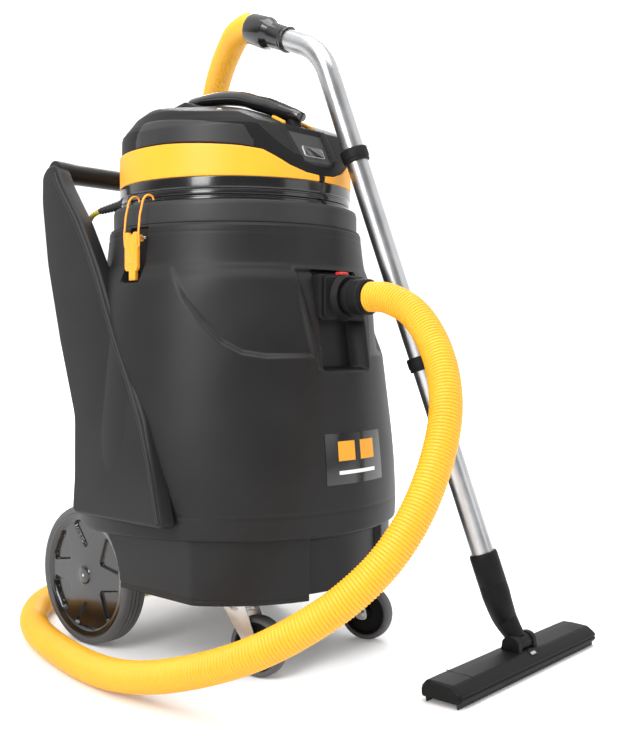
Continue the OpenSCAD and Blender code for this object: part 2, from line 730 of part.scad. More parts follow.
module tool_body() {
  color(black) machine() difference() {
    union() {
      hull() {
        block([tool_left, tool_front, tool_low], [tool_right, tool_back, 22]);
        block([tool_left + 6, -512, 22], [tool_right - 6, -458, tool_top]);
      }
      for (x = [-30, 18]) {
        rod_x(17, tool_at[0] + x, tool_at[0] + x + 12, tool_at[1], tool_at[2]);
        block([tool_at[0] + x, -505, 20], [tool_at[0] + x + 12, -471, tool_at[2]]);
      }
      rod_x(tool_pin_r, tool_at[0] - 30, tool_at[0] + 30, tool_at[1], tool_at[2]);
    }
    block([tool_left + 14, -506, 0], [tool_right - 14, -470, 17]);
    for (y = [-520, -464]) block([tool_left + 4, y, 0], [tool_right - 4, y + 6, 18]);
    rod_x(17.6, tool_at[0] - 18, tool_at[0] + 18, tool_at[1], tool_at[2]);
  }
}
module tool_strips() {
  color("#2a2a2b") machine() for (y = [-519.8, -463.8])
    block([tool_left + 4.2, y, 0], [tool_right - 4.2, y + 5.6, 17.8]);
}

drum_shell();
rear_handle_bar();
wheel_chassis();
clamp_collar();
rim_seal();
motor_deck();
head_skirt();
head_band();
head_cover();
carry_grip();
badge_plate();
label_plate();
suction_motors();
motor_gaskets();
sound_foam();
float_cage();
float_ball();
cloth_filter();
switch_housings();
inlet_block();
inlet_deflector();
hose_bayonet();
strain_relief();
rear_axle();
caster_plates();
caster_screws();
head_screws();
latch_pins();
suction_hose();
mains_lead();
lead_coil();
mains_plug();
wheel_hub_left();
wheel_tyre_left();
wheel_hub_right();
wheel_tyre_right();
caster_fork_left();
caster_bolt_left();
caster_wheel_left();
caster_tyre_left();
caster_fork_right();
caster_bolt_right();
caster_wheel_right();
caster_tyre_right();
latch_lever_left();
latch_bail_left();
latch_lever_right();
latch_bail_right();
rocker_left();
rocker_right();
release_button();
wand_top_tube();
wand_middle_tube();
wand_lower_tube();
wand_collars();
wand_cuff();
tool_neck();
tool_body();
tool_strips();
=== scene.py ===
"""Looks for the wet and dry drum vacuum: cords, moulded shells, materials, floor, light and camera.

Sizes in this file are millimetres in the machine's own frame, where the drum's axis is x = y = 0 and the
floor is z = 0. The function at() turns such a point into metres in the CAD frame.
"""
import json
import math

import bmesh
import bpy
import numpy as np
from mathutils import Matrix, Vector


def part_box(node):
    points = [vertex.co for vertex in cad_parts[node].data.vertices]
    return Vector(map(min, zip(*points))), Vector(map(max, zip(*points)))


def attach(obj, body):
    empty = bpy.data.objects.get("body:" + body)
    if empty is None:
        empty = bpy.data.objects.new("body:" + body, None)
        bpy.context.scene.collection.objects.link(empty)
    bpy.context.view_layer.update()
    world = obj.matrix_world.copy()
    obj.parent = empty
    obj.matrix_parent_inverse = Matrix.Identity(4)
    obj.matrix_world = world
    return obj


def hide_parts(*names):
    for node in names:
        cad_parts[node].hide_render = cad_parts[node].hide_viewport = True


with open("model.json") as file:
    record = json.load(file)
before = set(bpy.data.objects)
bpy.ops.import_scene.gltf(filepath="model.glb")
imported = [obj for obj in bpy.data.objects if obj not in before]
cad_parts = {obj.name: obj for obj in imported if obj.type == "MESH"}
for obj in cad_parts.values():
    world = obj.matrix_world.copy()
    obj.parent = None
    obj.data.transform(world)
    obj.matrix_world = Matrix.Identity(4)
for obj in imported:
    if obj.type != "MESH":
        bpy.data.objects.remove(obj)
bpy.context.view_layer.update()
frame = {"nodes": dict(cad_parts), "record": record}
nodes = frame["nodes"]

collar_low, collar_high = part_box("clamp_collar")
AXIS = Vector(((collar_low.x + collar_high.x) / 2, (collar_low.y + collar_high.y) / 2, 0.0))
MM = 0.001
SIDES = ((-1, "left"), (1, "right"))


def at(x, y, z):
    """A point of the machine's frame in mm, as metres in the CAD frame."""
    return AXIS + Vector((x, y, z)) * MM


# ---------------------------------------------------------------- camera
IMAGE = (618, 730)
FOCAL_PX = 1011.0
EYE = at(-1300, -1345, 551)
HEADING = math.radians(41.87)
PITCH = math.radians(-1.47)


def make_camera():
    data = bpy.data.cameras.new("camera")
    data.sensor_width = 36.0
    data.sensor_fit = "AUTO"
    data.lens = 36.0 * FOCAL_PX / max(IMAGE)
    data.clip_start = 0.05
    cam = bpy.data.objects.new("camera", data)
    bpy.context.scene.collection.objects.link(cam)
    look = Vector((math.cos(HEADING) * math.cos(PITCH), math.sin(HEADING) * math.cos(PITCH), math.sin(PITCH)))
    cam.location = EYE
    cam.rotation_euler = look.to_track_quat("-Z", "Y").to_euler()
    bpy.context.scene.camera = cam


make_camera()


# ---------------------------------------------------------------- materials
COAT_ROUGH = 0.1


def shader(name, base, rough, metal=0.0, spec=0.5, coat=0.0):
    """A Principled material with its plain values set on the shader's own sockets."""
    mat = bpy.data.materials.new(name)
    mat.use_nodes = True
    bsdf = mat.node_tree.nodes["Principled BSDF"]
    bsdf.inputs["Base Color"].default_value = (*base, 1.0)
    bsdf.inputs["Roughness"].default_value = rough
    bsdf.inputs["Metallic"].default_value = metal
    bsdf.inputs["Specular IOR Level"].default_value = spec
    bsdf.inputs["Coat Weight"].default_value = coat
    bsdf.inputs["Coat Roughness"].default_value = COAT_ROUGH
    return mat


def add(mat, kind, **values):
    node = mat.node_tree.nodes.new(kind)
    for key, value in values.items():
        if key in node.inputs:
            node.inputs[key].default_value = value
        else:
            setattr(node, key, value)
    return node


def join(mat, a, out, b, into):
    mat.node_tree.links.new(a.outputs[out], b.inputs[into])


def grain(mat, scale, strength, distance, stretch=None):
    """Fine moulded grain: noise in object space, as bump."""
    bsdf = mat.node_tree.nodes["Principled BSDF"]
    where = add(mat, "ShaderNodeTexCoord")
    spot = where
    out = "Object"
    if stretch:
        mapping = add(mat, "ShaderNodeMapping")
        mapping.inputs["Scale"].default_value = stretch
        join(mat, where, "Object", mapping, "Vector")
        spot, out = mapping, "Vector"
    tex = add(mat, "ShaderNodeTexNoise", Scale=scale, Detail=6.0, Roughness=0.6)
    join(mat, spot, out, tex, "Vector")
    bump = add(mat, "ShaderNodeBump", Strength=strength, Distance=distance)
    join(mat, tex, "Fac", bump, "Height")
    join(mat, bump, "Normal", bsdf, "Normal")


def vary(mat, base, light, scale, rough_low, rough_high):
    """Soft changes of colour and roughness over the surface."""
    bsdf = mat.node_tree.nodes["Principled BSDF"]
    where = add(mat, "ShaderNodeTexCoord")
    tex = add(mat, "ShaderNodeTexNoise", Scale=scale, Detail=4.0, Roughness=0.55)
    join(mat, where, "Object", tex, "Vector")
    ramp = add(mat, "ShaderNodeValToRGB")
    ramp.color_ramp.elements[0].position = 0.32
    ramp.color_ramp.elements[0].color = (*base, 1.0)
    ramp.color_ramp.elements[1].position = 0.72
    ramp.color_ramp.elements[1].color = (*light, 1.0)
    join(mat, tex, "Fac", ramp, "Fac")
    join(mat, ramp, "Color", bsdf, "Base Color")
    span = add(mat, "ShaderNodeMapRange")
    span.inputs["To Min"].default_value = rough_low
    span.inputs["To Max"].default_value = rough_high
    join(mat, tex, "Fac", span, "Value")
    join(mat, span, "Result", bsdf, "Roughness")


def plastic(name, base, rough, scale=900.0, strength=0.25, spec=0.45, light=None, coat=0.0):
    mat = shader(name, base, rough, spec=spec, coat=coat)
    lighter = light or tuple(min(1.0, c * 1.22 + 0.002) for c in base)
    vary(mat, base, lighter, 9.0, rough - 0.05, rough + 0.06)
    grain(mat, scale, strength, 0.0004)
    return mat


def metal(name, base, rough, stretch, strength=0.12):
    """Drawn or plated metal: fine lines along one axis, with uneven gloss."""
    mat = shader(name, base, rough, metal=1.0)
    lighter = tuple(min(1.0, c * 1.08) for c in base)
    darker = tuple(c * 0.86 for c in base)
    vary(mat, darker, lighter, 14.0, rough - 0.05, rough + 0.1)
    grain(mat, 160.0, strength, 0.0002, stretch=stretch)
    return mat


MATS = {
    "charcoal_plastic": plastic("charcoal_plastic", (0.0075, 0.0075, 0.008), 0.46, 1100.0, 0.2, spec=0.26),
    "grey_plastic": plastic("grey_plastic", (0.017, 0.017, 0.0175), 0.46, 1100.0, 0.2, spec=0.32),
    "black_plastic": plastic("black_plastic", (0.006, 0.006, 0.0062), 0.54, 1200.0, 0.14, spec=0.14),
    "gloss_black": plastic("gloss_black", (0.007, 0.007, 0.0075), 0.2, 500.0, 0.05, coat=0.4),
    "yellow_plastic": plastic("yellow_plastic", (0.78, 0.33, 0.012), 0.48, 1000.0, 0.12,
                              light=(0.81, 0.36, 0.016)),
    "orange_plastic": plastic("orange_plastic", (0.8, 0.3, 0.018), 0.36, 900.0, 0.1,
                              light=(0.84, 0.34, 0.025)),
    "red_plastic": plastic("red_plastic", (0.55, 0.025, 0.015), 0.35, 900.0, 0.12),
    "hose_plastic": plastic("hose_plastic", (0.8, 0.37, 0.012), 0.46, 700.0, 0.1, light=(0.84, 0.41, 0.018)),
    "lead_rubber": plastic("lead_rubber", (0.36, 0.29, 0.012), 0.5, 1500.0, 0.15),
    "black_rubber": plastic("black_rubber", (0.012, 0.012, 0.012), 0.68, 1400.0, 0.3),
    "tyre_grey": plastic("tyre_grey", (0.075, 0.075, 0.077), 0.62, 900.0, 0.35),
    "tube_steel": metal("tube_steel", (0.52, 0.525, 0.535), 0.31, (1.0, 1.0, 0.04)),
    "zinc_steel": metal("zinc_steel", (0.6, 0.61, 0.62), 0.3, (1.0, 1.0, 1.0), 0.2),
    "foam_grey": plastic("foam_grey", (0.09, 0.09, 0.09), 0.95, 500.0, 0.9),
    "filter_cloth": plastic("filter_cloth", (0.62, 0.6, 0.54), 0.9, 900.0, 0.7),
    "badge_grey": plastic("badge_grey", (0.34, 0.34, 0.345), 0.3, 900.0, 0.12),
    "wire_orange": plastic("wire_orange", (0.86, 0.3, 0.03), 0.34, 900.0, 0.1),
}
LABEL_WHITE = plastic("label_white", (0.8, 0.8, 0.78), 0.35, 900.0, 0.06)
for part in frame["record"]["subparts"]:
    shown = nodes[part["node"]]
    shown.data.materials.clear()
    shown.data.materials.append(MATS[part["material_slot"]])


# ---------------------------------------------------------------- mesh helpers
def build(name, verts, faces, slot_name, body="root", crease=38.0, node=None):
    """A mesh piece from points in machine mm, with its body, its slot and any CAD node it replaces."""
    mesh = bpy.data.meshes.new(name)
    points = np.asarray(verts, float) * MM + np.array(AXIS)
    mesh.from_pydata([tuple(v) for v in points], [], [tuple(int(i) for i in f) for f in faces])
    mesh.validate()
    work = bmesh.new()
    work.from_mesh(mesh)
    bmesh.ops.remove_doubles(work, verts=work.verts, dist=1e-6)
    bmesh.ops.recalc_face_normals(work, faces=work.faces)
    work.to_mesh(mesh)
    work.free()
    mesh.update()
    mesh.polygons.foreach_set("use_smooth", [True] * len(mesh.polygons))
    mesh.set_sharp_from_angle(angle=math.radians(crease))
    piece = bpy.data.objects.new(name, mesh)
    bpy.context.scene.collection.objects.link(piece)
    mesh.materials.append(MATS[slot_name])
    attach(piece, body)
    if node:
        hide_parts(node)
    return piece


def unit(v):
    v = np.asarray(v, float)
    return v / np.linalg.norm(v)


def as_columns(*axes):
    """An array whose columns are the given directions."""
    return np.stack([np.asarray(axis, float) for axis in axes], axis=1)


FACING_FRONT = as_columns((1, 0, 0), (0, 0, 1), (0, -1, 0))


def around(radius, angle, height):
    """Points at a radius, at angles about Z, and at a height."""
    return np.stack([radius * np.cos(angle), radius * np.sin(angle), height + 0 * angle], axis=-1)


def basis(axis, side=None):
    """Three columns: a side direction, the one after it, and the axis."""
    axis = unit(axis)
    hint = np.asarray(side if side is not None else ((0, 0, 1.0) if abs(axis[2]) < 0.9 else (1.0, 0, 0)),
                      float)
    first = unit(hint - np.dot(hint, axis) * axis)
    return as_columns(first, np.cross(axis, first), axis)


def rounded(points, radius, steps=5, closed=False):
    """A line of points with each corner rounded."""
    p = [np.asarray(q, float) for q in points]
    n = len(p)
    out = []
    for i in range(n):
        if not closed and i in (0, n - 1):
            out.append(p[i])
            continue
        before, here, after = p[i - 1], p[i], p[(i + 1) % n]
        cut = min(radius, 0.45 * np.linalg.norm(before - here), 0.45 * np.linalg.norm(after - here))
        start = here + cut * unit(before - here)
        end = here + cut * unit(after - here)
        for k in range(steps + 1):
            t = k / steps
            out.append((1 - t) ** 2 * start + 2 * t * (1 - t) * here + t * t * end)
    return np.array(out)


def grid_faces(rows, cols, wrap=True):
    """Quads between the rows of a grid of points."""
    last = cols if wrap else cols - 1
    return [(i * cols + k, i * cols + (k + 1) % cols, (i + 1) * cols + (k + 1) % cols, (i + 1) * cols + k)
            for i in range(rows - 1) for k in range(last)]


def ring_faces(rows, cols):
    """Quads of a grid of points that is closed both ways."""
    last = (rows - 1) * cols
    return grid_faces(rows, cols) + [(last + k, last + (k + 1) % cols, (k + 1) % cols,
                                      k) for k in range(cols)]


def sheet_faces(rows, cols):
    """Faces of a thin sheet given as two skins, each rows by cols points, with a wall along their border."""
    count = rows * cols
    skin = grid_faces(rows, cols, wrap=False)
    faces = skin + [tuple(count + i for i in reversed(face)) for face in skin]
    border = [*range(cols), *[(r + 1) * cols - 1 for r in range(1, rows)],
              *[(rows - 1) * cols + c for c in range(cols - 2, -1, -1)],
              *[r * cols for r in range(rows - 2, 0, -1)]]
    for i, a in enumerate(border):
        b = border[(i + 1) % len(border)]
        faces.append((a, count + a, count + b, b))
    return faces


def lathe(name, profile, slot_name, body="root", centre=(0, 0, 0), axis=(0, 0, 1), sides=128, crease=38.0,
          node=None):
    """A closed profile of (radius, height) turned about an axis."""
    profile = np.asarray(profile, float)
    angles = np.linspace(0, 2 * np.pi, sides, endpoint=False)
    radii = np.repeat(profile[:, :1], sides, axis=1)
    heights = np.repeat(profile[:, 1:2], sides, axis=1)
    frame3 = basis(axis, (1, 0, 0) if abs(unit(axis)[0]) < 0.9 else (0, 0, 1))
    local = np.stack([radii * np.cos(angles), radii * np.sin(angles), heights], axis=-1).reshape(-1, 3)
    verts = local @ frame3.T + np.asarray(centre, float)
    return build(name, verts, ring_faces(len(profile), sides), slot_name, body, crease, node)


def plate(name, outline, depth, slot_name, body="root", frame3=None, origin=(0, 0, 0), bevel=1.5, steps=3,
          node=None):
    """A flat plate with rounded edges: an outline in its own plane, extruded along its normal."""
    work = bmesh.new()
    low = [work.verts.new((x, y, 0)) for x, y in outline]
    face = work.faces.new(low)
    lifted = bmesh.ops.extrude_face_region(work, geom=[face])
    top = [v for v in lifted["geom"] if isinstance(v, bmesh.types.BMVert)]
    bmesh.ops.translate(work, verts=top, vec=(0, 0, depth))
    if bevel:
        rims = [e for e in work.edges if abs(e.verts[0].co.z - e.verts[1].co.z) < 1e-6]
        bmesh.ops.bevel(work, geom=rims, offset=bevel, segments=steps, profile=0.5, affect="EDGES",
                        clamp_overlap=True)
    frame3 = np.eye(3) if frame3 is None else frame3
    verts = [frame3 @ np.array(v.co) + np.asarray(origin, float) for v in work.verts]
    work.verts.index_update()
    faces = [[v.index for v in f.verts] for f in work.faces]
    work.free()
    return build(name, verts, faces, slot_name, body, node=node)


def smooth_curve(points, steps):
    """Points on a uniform Catmull-Rom curve through the route's points."""
    p = [np.asarray(v, float) for v in points]
    out = []
    for i in range(len(p) - 1):
        a, b, c, d = p[max(i - 1, 0)], p[i], p[i + 1], p[min(i + 2, len(p) - 1)]
        for k in range(steps):
            t = k / steps
            out.append(0.5 * (2 * b + (c - a) * t + (2 * a - 5 * b + 4 * c - d) * t * t
                              + (3 * b - a - 3 * c + d) * t ** 3))
    out.append(p[-1])
    return np.array(out)


def even(line, step):
    """The same line with points about one step apart, and how far along each one is."""
    run = np.concatenate([[0.0], np.cumsum(np.linalg.norm(np.diff(line, axis=0), axis=1))])
    where = np.linspace(0.0, run[-1], max(2, int(round(run[-1] / step)) + 1))
    return np.stack([np.interp(where, run, line[:, k]) for k in range(3)], axis=1), where


def sweep(name, line, radii, slot_name, body="root", sides=16, flat=1.0, side=None, crease=38.0, node=None):
    """A tube along a line. radii is one number or one for each point, and flat scales the second axis."""
    line = np.asarray(line, float)
    n = len(line)
    radii = np.broadcast_to(np.asarray(radii, float), (n,))
    flats = np.broadcast_to(np.asarray(flat, float), (n,))
    tangents = np.gradient(line, axis=0)
    tangents /= np.linalg.norm(tangents, axis=1)[:, None]
    first = basis(tangents[0], side)[:, 0]
    angles = np.linspace(0, 2 * np.pi, sides, endpoint=False)
    verts = np.zeros((n, sides, 3))
    for i in range(n):
        first = unit(first - np.dot(first, tangents[i]) * tangents[i])
        second = np.cross(tangents[i], first)
        ring = np.cos(angles)[:, None] * first + flats[i] * np.sin(angles)[:, None] * second
        verts[i] = line[i] + radii[i] * ring
    faces = grid_faces(n, sides)
    faces.append(tuple(range(sides - 1, -1, -1)))
    faces.append(tuple((n - 1) * sides + k for k in range(sides)))
    return build(name, verts.reshape(-1, 3), faces, slot_name, body, crease, node)


def smooth_step(x, low, high):
    t = np.clip((x - low) / (high - low), 0.0, 1.0)
    return t * t * (3 - 2 * t)


def inside(u, v, polygon, soft):
    """1 well inside a polygon, 0 outside, with a soft edge of the given width."""
    dist = np.full(u.shape, 1e9)
    odd = np.zeros(u.shape, bool)
    n = len(polygon)
    for i in range(n):
        (x0, y0), (x1, y1) = polygon[i], polygon[(i + 1) % n]
        ex, ey = x1 - x0, y1 - y0
        t = np.clip(((u - x0) * ex + (v - y0) * ey) / (ex * ex + ey * ey), 0, 1)
        dist = np.minimum(dist, np.hypot(u - x0 - t * ex, v - y0 - t * ey))
        cross = ((y0 > v) != (y1 > v)) & (u < (x1 - x0) * (v - y0) / (y1 - y0 + 1e-12) + x0)
        odd ^= cross
    return smooth_step(np.where(odd, dist, -dist), -soft / 2, soft / 2)


# ---------------------------------------------------------------- cords
WAND_CORNER = np.array([32.0, -179.0, 1053.0])
NECK = np.array([163.0, -445.0, 148.0])
STUB_RISE = math.radians(23)
STUB_HEADING = math.radians(89)
CUFF_START = 84.0
CUFF_END = 184.0
STUB = np.array([math.cos(STUB_HEADING) * math.cos(STUB_RISE), math.sin(STUB_HEADING) * math.cos(STUB_RISE),
                 math.sin(STUB_RISE)])
HOSE_TOP = WAND_CORNER + (CUFF_END + 1.2) * STUB
HOSE_ROUTE = [
    (0, -314, 620), (0, -350, 617), (-6, -402, 595), (-20, -448, 554), (-43, -487, 500), (-73, -512, 438),
    (-112, -521, 370), (-155, -517, 303), (-199, -498, 243), (-241, -462, 192), (-279, -413, 149),
    (-309, -350, 110), (-329, -270, 76), (-341, -175, 47), (-344, -85, 31), (-337, 0, 26),
    (-322, 85, 26), (-301, 165, 26), (-273, 240, 26), (-230, 315, 26), (-163, 388, 26), (-75, 440, 26),
    (15, 460, 27), (90, 457, 36), (147, 447, 66), (192, 435, 120), (226, 423, 200), (250, 412, 310),
    (260, 404, 460), (260, 394, 600), (258, 382, 710), (254, 366, 805), (245, 344, 890), (229, 318, 950),
    (204, 288, 1000), (170, 246, 1041), (137, 197, 1074), (108, 148, 1101), (83, 102, 1120), (58, 56, 1131),
    (35.2, 2.5, 1130.1), tuple(HOSE_TOP),
]
HOSE_R = 25.0
RIB_PITCH = 5.4
RIB_DEPTH = 1.9
RIB_STEPS = 6
HOSE_SIDES = 32


def metres(line):
    """Points of the machine's frame in mm, as plain triples of metres in the CAD frame."""
    return [tuple(float(c) for c in np.asarray(p) * MM + np.array(AXIS)) for p in line]


def corrugated_hose():
    """The suction hose: rounded ribs at a fixed pitch along the whole route."""
    line, run = even(smooth_curve(HOSE_ROUTE, 24), RIB_PITCH / RIB_STEPS)
    crest = np.sqrt(np.abs(np.cos(np.pi * run / RIB_PITCH)))
    hose = sweep("suction_hose_ribbed", line, HOSE_R - RIB_DEPTH + RIB_DEPTH * crest, "hose_plastic",
                 sides=HOSE_SIDES, crease=80.0)
    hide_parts("suction_hose")


LEAD_R = 4.5
LEAD_LENGTH = 8.0
COIL_AT = (420.0, 330.0)
COIL_RINGS = [58.5, 67.5, 76.5, 85.5]
TURN_POINTS = 20
RELIEF_AT = np.array([-146.0, 148.0, 796.0])
RELIEF_DIR = np.array([-0.66, 0.7, -0.28]) / np.linalg.norm([-0.66, 0.7, -0.28])
RELIEF_LEN = 44.0
LEAD_ROUTE = [
    tuple(RELIEF_AT + RELIEF_LEN * RELIEF_DIR), (-183, 189, 775), (-186, 196, 758), (-184, 199, 735),
    (-178, 204, 690), (-171, 220, 640), (-165, 242, 580), (-155, 268, 500), (-135, 297, 400),
    (-110, 318, 290), (-80, 334, 180), (-45, 345, 85), (-5, 352, 25), (45, 356, 6), (110, 360, 5),
    (180, 368, 5), (250, 384, 5), (320, 404, 5), (380, 418, 5),
]


def coil_turn(turn):
    """Radius and height of the wound lead after a number of turns: layer on layer, in and out again."""
    layer, along = divmod(turn, len(COIL_RINGS))
    rings = COIL_RINGS[::-1] if int(layer) % 2 == 0 else COIL_RINGS
    index = int(along)
    step = smooth_step(along - index, 0.8, 1.0)
    last = index == len(rings) - 1
    radius = rings[index] + (0 if last else step * (rings[index + 1] - rings[index]))
    height = (2 * int(layer) + 1 + (2 * step if last else 0)) * LEAD_R
    return radius, height


def coil_point(turn, radius, height):
    """A place on the coil, wound clockwise from its far side."""
    angle = math.pi / 2 - 2 * math.pi * turn
    return (COIL_AT[0] + radius * math.cos(angle), COIL_AT[1] + radius * math.sin(angle), height)


PLUG_AT = (400.0, 258.0, 49.0)
TAIL = [(0.06, 67.5, 33), (0.12, 69, 38), (0.18, 71, 43), (0.24, 72, 47), (0.30, 72, 49), (0.36, 72, 49)]


def mains_lead():
    """The lead from its strain relief to its plug, with its spare length coiled behind the machine."""
    start = smooth_curve(LEAD_ROUTE, 6)
    start[:, 2] = np.maximum(start[:, 2], LEAD_R + 0.3)
    start_len = float(np.linalg.norm(np.diff(start, axis=0), axis=1).sum())
    mean = sum(COIL_RINGS) / len(COIL_RINGS)
    turns = int((LEAD_LENGTH / MM - start_len) / (2 * math.pi * mean))
    wound = [coil_point(k / TURN_POINTS, *coil_turn(k / TURN_POINTS)) for k in range(turns * TURN_POINTS)]
    tail = [coil_point(turns + t, r, h) for t, r, h in TAIL]
    tail.append((PLUG_AT[0] + 24, PLUG_AT[1], PLUG_AT[2]))
    line = np.concatenate([start, wound, smooth_curve(tail, 4)])
    data = bpy.data.curves.new("mains_lead_jacket", "CURVE")
    data.dimensions = "3D"
    data.bevel_depth = LEAD_R * MM
    data.bevel_resolution = 4
    data.use_fill_caps = True
    spline = data.splines.new("POLY")
    spline.points.add(len(line) - 1)
    for point, place in zip(spline.points, metres(line)):
        point.co = (*place, 1.0)
    lead = bpy.data.objects.new("mains_lead_jacket", data)
    bpy.context.scene.collection.objects.link(lead)
    data.materials.append(MATS["lead_rubber"])
    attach(lead, "root")
    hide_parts("mains_lead", "lead_coil")
    tie = cable_tie()
    plug = mains_plug()
    relief = strain_relief()


def cable_tie():
    """A hook and loop strap round the coil's bundle."""
    low, high, inner, outer = 1.0, 38.0, 52.4, 91.6
    band = rounded([(inner, low), (outer, low), (outer, high), (inner, high)], 7, 4, closed=True)
    half = 8.0
    verts = []
    for y in (-half, -half + 1, half - 1, half):
        shrink = 0.0 if abs(y) < half else 0.5
        for r, z in band:
            verts.append((COIL_AT[0] + r - shrink, COIL_AT[1] + y, z))
    rows = 4
    cols = len(band)
    faces = grid_faces(rows, cols)
    tie = build("lead_tie", verts, faces, "black_rubber", crease=60)
    thick = tie.modifiers.new("thickness", "SOLIDIFY")
    thick.thickness = 1.2 * MM
    thick.offset = 0.0
    return tie


def mains_plug():
    """The moulded body of the plug, with a shaped back."""
    x, y, z = PLUG_AT
    outline = rounded([(-20, -21), (14, -21), (20, -10), (22, -7), (22, 7), (20, 10), (14, 21), (-20, 21)], 7,
                      closed=True)
    return plate("mains_plug_body", outline, 24, "black_plastic", origin=(x, y, z - 12.5), bevel=5, steps=4,
                 node="mains_plug")


def strain_relief():
    """The tapered, ribbed boot where the lead leaves the head."""
    profile = [(0.5, -6), (9.4, -6), (9.4, 2)]
    ribs = 7
    for k in range(ribs):
        a = 3 + k * (RELIEF_LEN - 5) / ribs
        r = 9.0 - 3.2 * a / RELIEF_LEN
        profile += [(r, a), (r, a + 3.4), (r - 1.3, a + 4.0), (r - 1.4, a + 5.2)]
    profile += [(5.6, RELIEF_LEN - 0.4), (4.7, RELIEF_LEN)]
    profile.append((0.5, RELIEF_LEN))
    return lathe("strain_relief_boot", profile, "black_rubber", centre=RELIEF_AT, axis=RELIEF_DIR, sides=40,
                 node="strain_relief")


corrugated_hose()
mains_lead()


# ---------------------------------------------------------------- floor and light
def make_stage():
    """A wide, flat, pale floor that glows by its distance from the middle, with nothing behind it but the
    white studio: the faint glow near the machine is painted light that lifts the shadows there, and the
    stronger glow further out fades the floor into white.
    """
    half = 60.0
    near, far = 1.3, 3.2
    mesh = bpy.data.meshes.new("floor")
    mesh.from_pydata([(-half, -half, 0.0), (half, -half, 0.0), (half, half, 0.0), (-half, half, 0.0)], [],
                     [(0, 1, 2, 3)])
    floor = bpy.data.objects.new("floor", mesh)
    bpy.context.scene.collection.objects.link(floor)
    pale = shader("pale_floor", (0.86, 0.86, 0.86), 0.75, spec=0.1)
    skin = pale.node_tree.nodes["Principled BSDF"]
    skin.inputs["Emission Color"].default_value = (1.0, 1.0, 1.0, 1.0)
    where = add(pale, "ShaderNodeTexCoord")
    reach = add(pale, "ShaderNodeVectorMath", operation="LENGTH")
    join(pale, where, "Object", reach, "Vector")
    # Painted light: the floor glows faintly near the machine to lighten its shadows, and more strongly
    # further out so it fades into white.
    glow = add(pale, "ShaderNodeMapRange")
    glow.inputs["From Min"].default_value = near
    glow.inputs["From Max"].default_value = far
    glow.inputs["To Min"].default_value = 0.12
    glow.inputs["To Max"].default_value = 0.8
    join(pale, reach, "Value", glow, "Value")
    join(pale, glow, "Result", skin, "Emission Strength")
    mesh.materials.append(pale)


def area_light(name, place, target, size, power, size_y=None):
    data = bpy.data.lights.new(name, "AREA")
    data.shape = "RECTANGLE"
    data.size = size
    data.size_y = size_y or size
    data.energy = power
    lamp = bpy.data.objects.new(name, data)
    bpy.context.scene.collection.objects.link(lamp)
    lamp.location = Vector(place)
    lamp.rotation_euler = (Vector(target) - Vector(place)).to_track_quat("-Z", "Y").to_euler()


def make_lights():
    """White all round the far half, a darker studio behind the camera, and soft boxes."""
    world = bpy.data.worlds.new("studio")
    bpy.context.scene.world = world
    world.use_nodes = True
    tree = world.node_tree
    sky = tree.nodes["Background"]
    sky.inputs["Strength"].default_value = 1.2
    where = tree.nodes.new("ShaderNodeTexCoord")
    facing = tree.nodes.new("ShaderNodeVectorMath")
    facing.operation = "DOT_PRODUCT"
    facing.inputs[1].default_value = (math.cos(HEADING), math.sin(HEADING), 1.15)
    tree.links.new(where.outputs["Generated"], facing.inputs[0])
    ramp = tree.nodes.new("ShaderNodeValToRGB")
    ramp.color_ramp.elements[0].position = 0.0
    ramp.color_ramp.elements[0].color = (0.1, 0.1, 0.103, 1.0)
    ramp.color_ramp.elements[1].position = 0.45
    ramp.color_ramp.elements[1].color = (1.0, 1.0, 1.0, 1.0)
    tree.links.new(facing.outputs["Value"], ramp.inputs["Fac"])
    tree.links.new(ramp.outputs["Color"], sky.inputs["Color"])
    middle = (0.0, 0.0, 0.5)
    area_light("key", (-2.6, -0.5, 2.0), middle, 0.9, 75, 2.2)
    area_light("top", (-0.4, -0.6, 3.2), middle, 2.2, 60)
    area_light("fill", (0.9, -3.2, 1.3), middle, 1.6, 12)
    area_light("rim", (1.8, 1.6, 2.0), middle, 1.2, 40)
    bpy.context.scene.view_settings.view_transform = "Standard"


make_stage()
make_lights()



# ---------------------------------------------------------------- drum
DRUM_R = 292.0
RIM_R = 228.0
RIM_Z = 738.0
LEDGE_Z = 232.0
DRUM_LINE = [
    (LEDGE_Z, DRUM_R), (258, DRUM_R + 1), (320, DRUM_R - 1), (380, DRUM_R - 6), (440, DRUM_R - 13),
    (530, DRUM_R - 24), (600, DRUM_R - 33), (645, DRUM_R - 42), (664, DRUM_R - 50), (676, RIM_R + 8),
    (700, RIM_R + 4), (RIM_Z, RIM_R),
]
WHEEL_Y = 170.0
WHEEL_R = 125.0
WHEEL_X = 222.0
ARCH_R = 133.0
ARCH_X = 166.0
DEGREE = math.pi / 180


def drum_radius(z):
    """The drum's outer radius at a height, through the points of its outline without overshoot."""
    heights = np.array([p[0] for p in DRUM_LINE], float)
    radii = np.array([p[1] for p in DRUM_LINE], float)
    slopes = np.diff(radii) / np.diff(heights)
    before, after = slopes[:-1], slopes[1:]
    between = np.where(before * after > 0, 2 * before * after / (before + after - 1e-12), 0)
    ends = np.concatenate([[slopes[0]], between, [slopes[-1]]])
    i = np.clip(np.searchsorted(heights, z) - 1, 0, len(slopes) - 1)
    h = heights[i + 1] - heights[i]
    t = np.clip((z - heights[i]) / h, 0, 1)
    return ((1 + 2 * t) * (1 - t) ** 2 * radii[i] + t * (1 - t) ** 2 * h * ends[i]
            + t * t * (3 - 2 * t) * radii[i + 1] + t * t * (t - 1) * h * ends[i + 1])


def turned(front_angle):
    """Degrees from the front, -Y, towards +X, as the angle about Z from +X."""
    return (front_angle - 90) * DEGREE


PANEL = [(-70, 668), (-63, 616), (-56, 578), (-49, 547), (-42, 530), (-34, 524), (-16, 524), (-22, 668)]
NICHE = [(-20.5, 664), (-15.5, 560), (-14, 503), (-11, 498), (10.5, 498), (12.5, 503), (12.5, 664)]
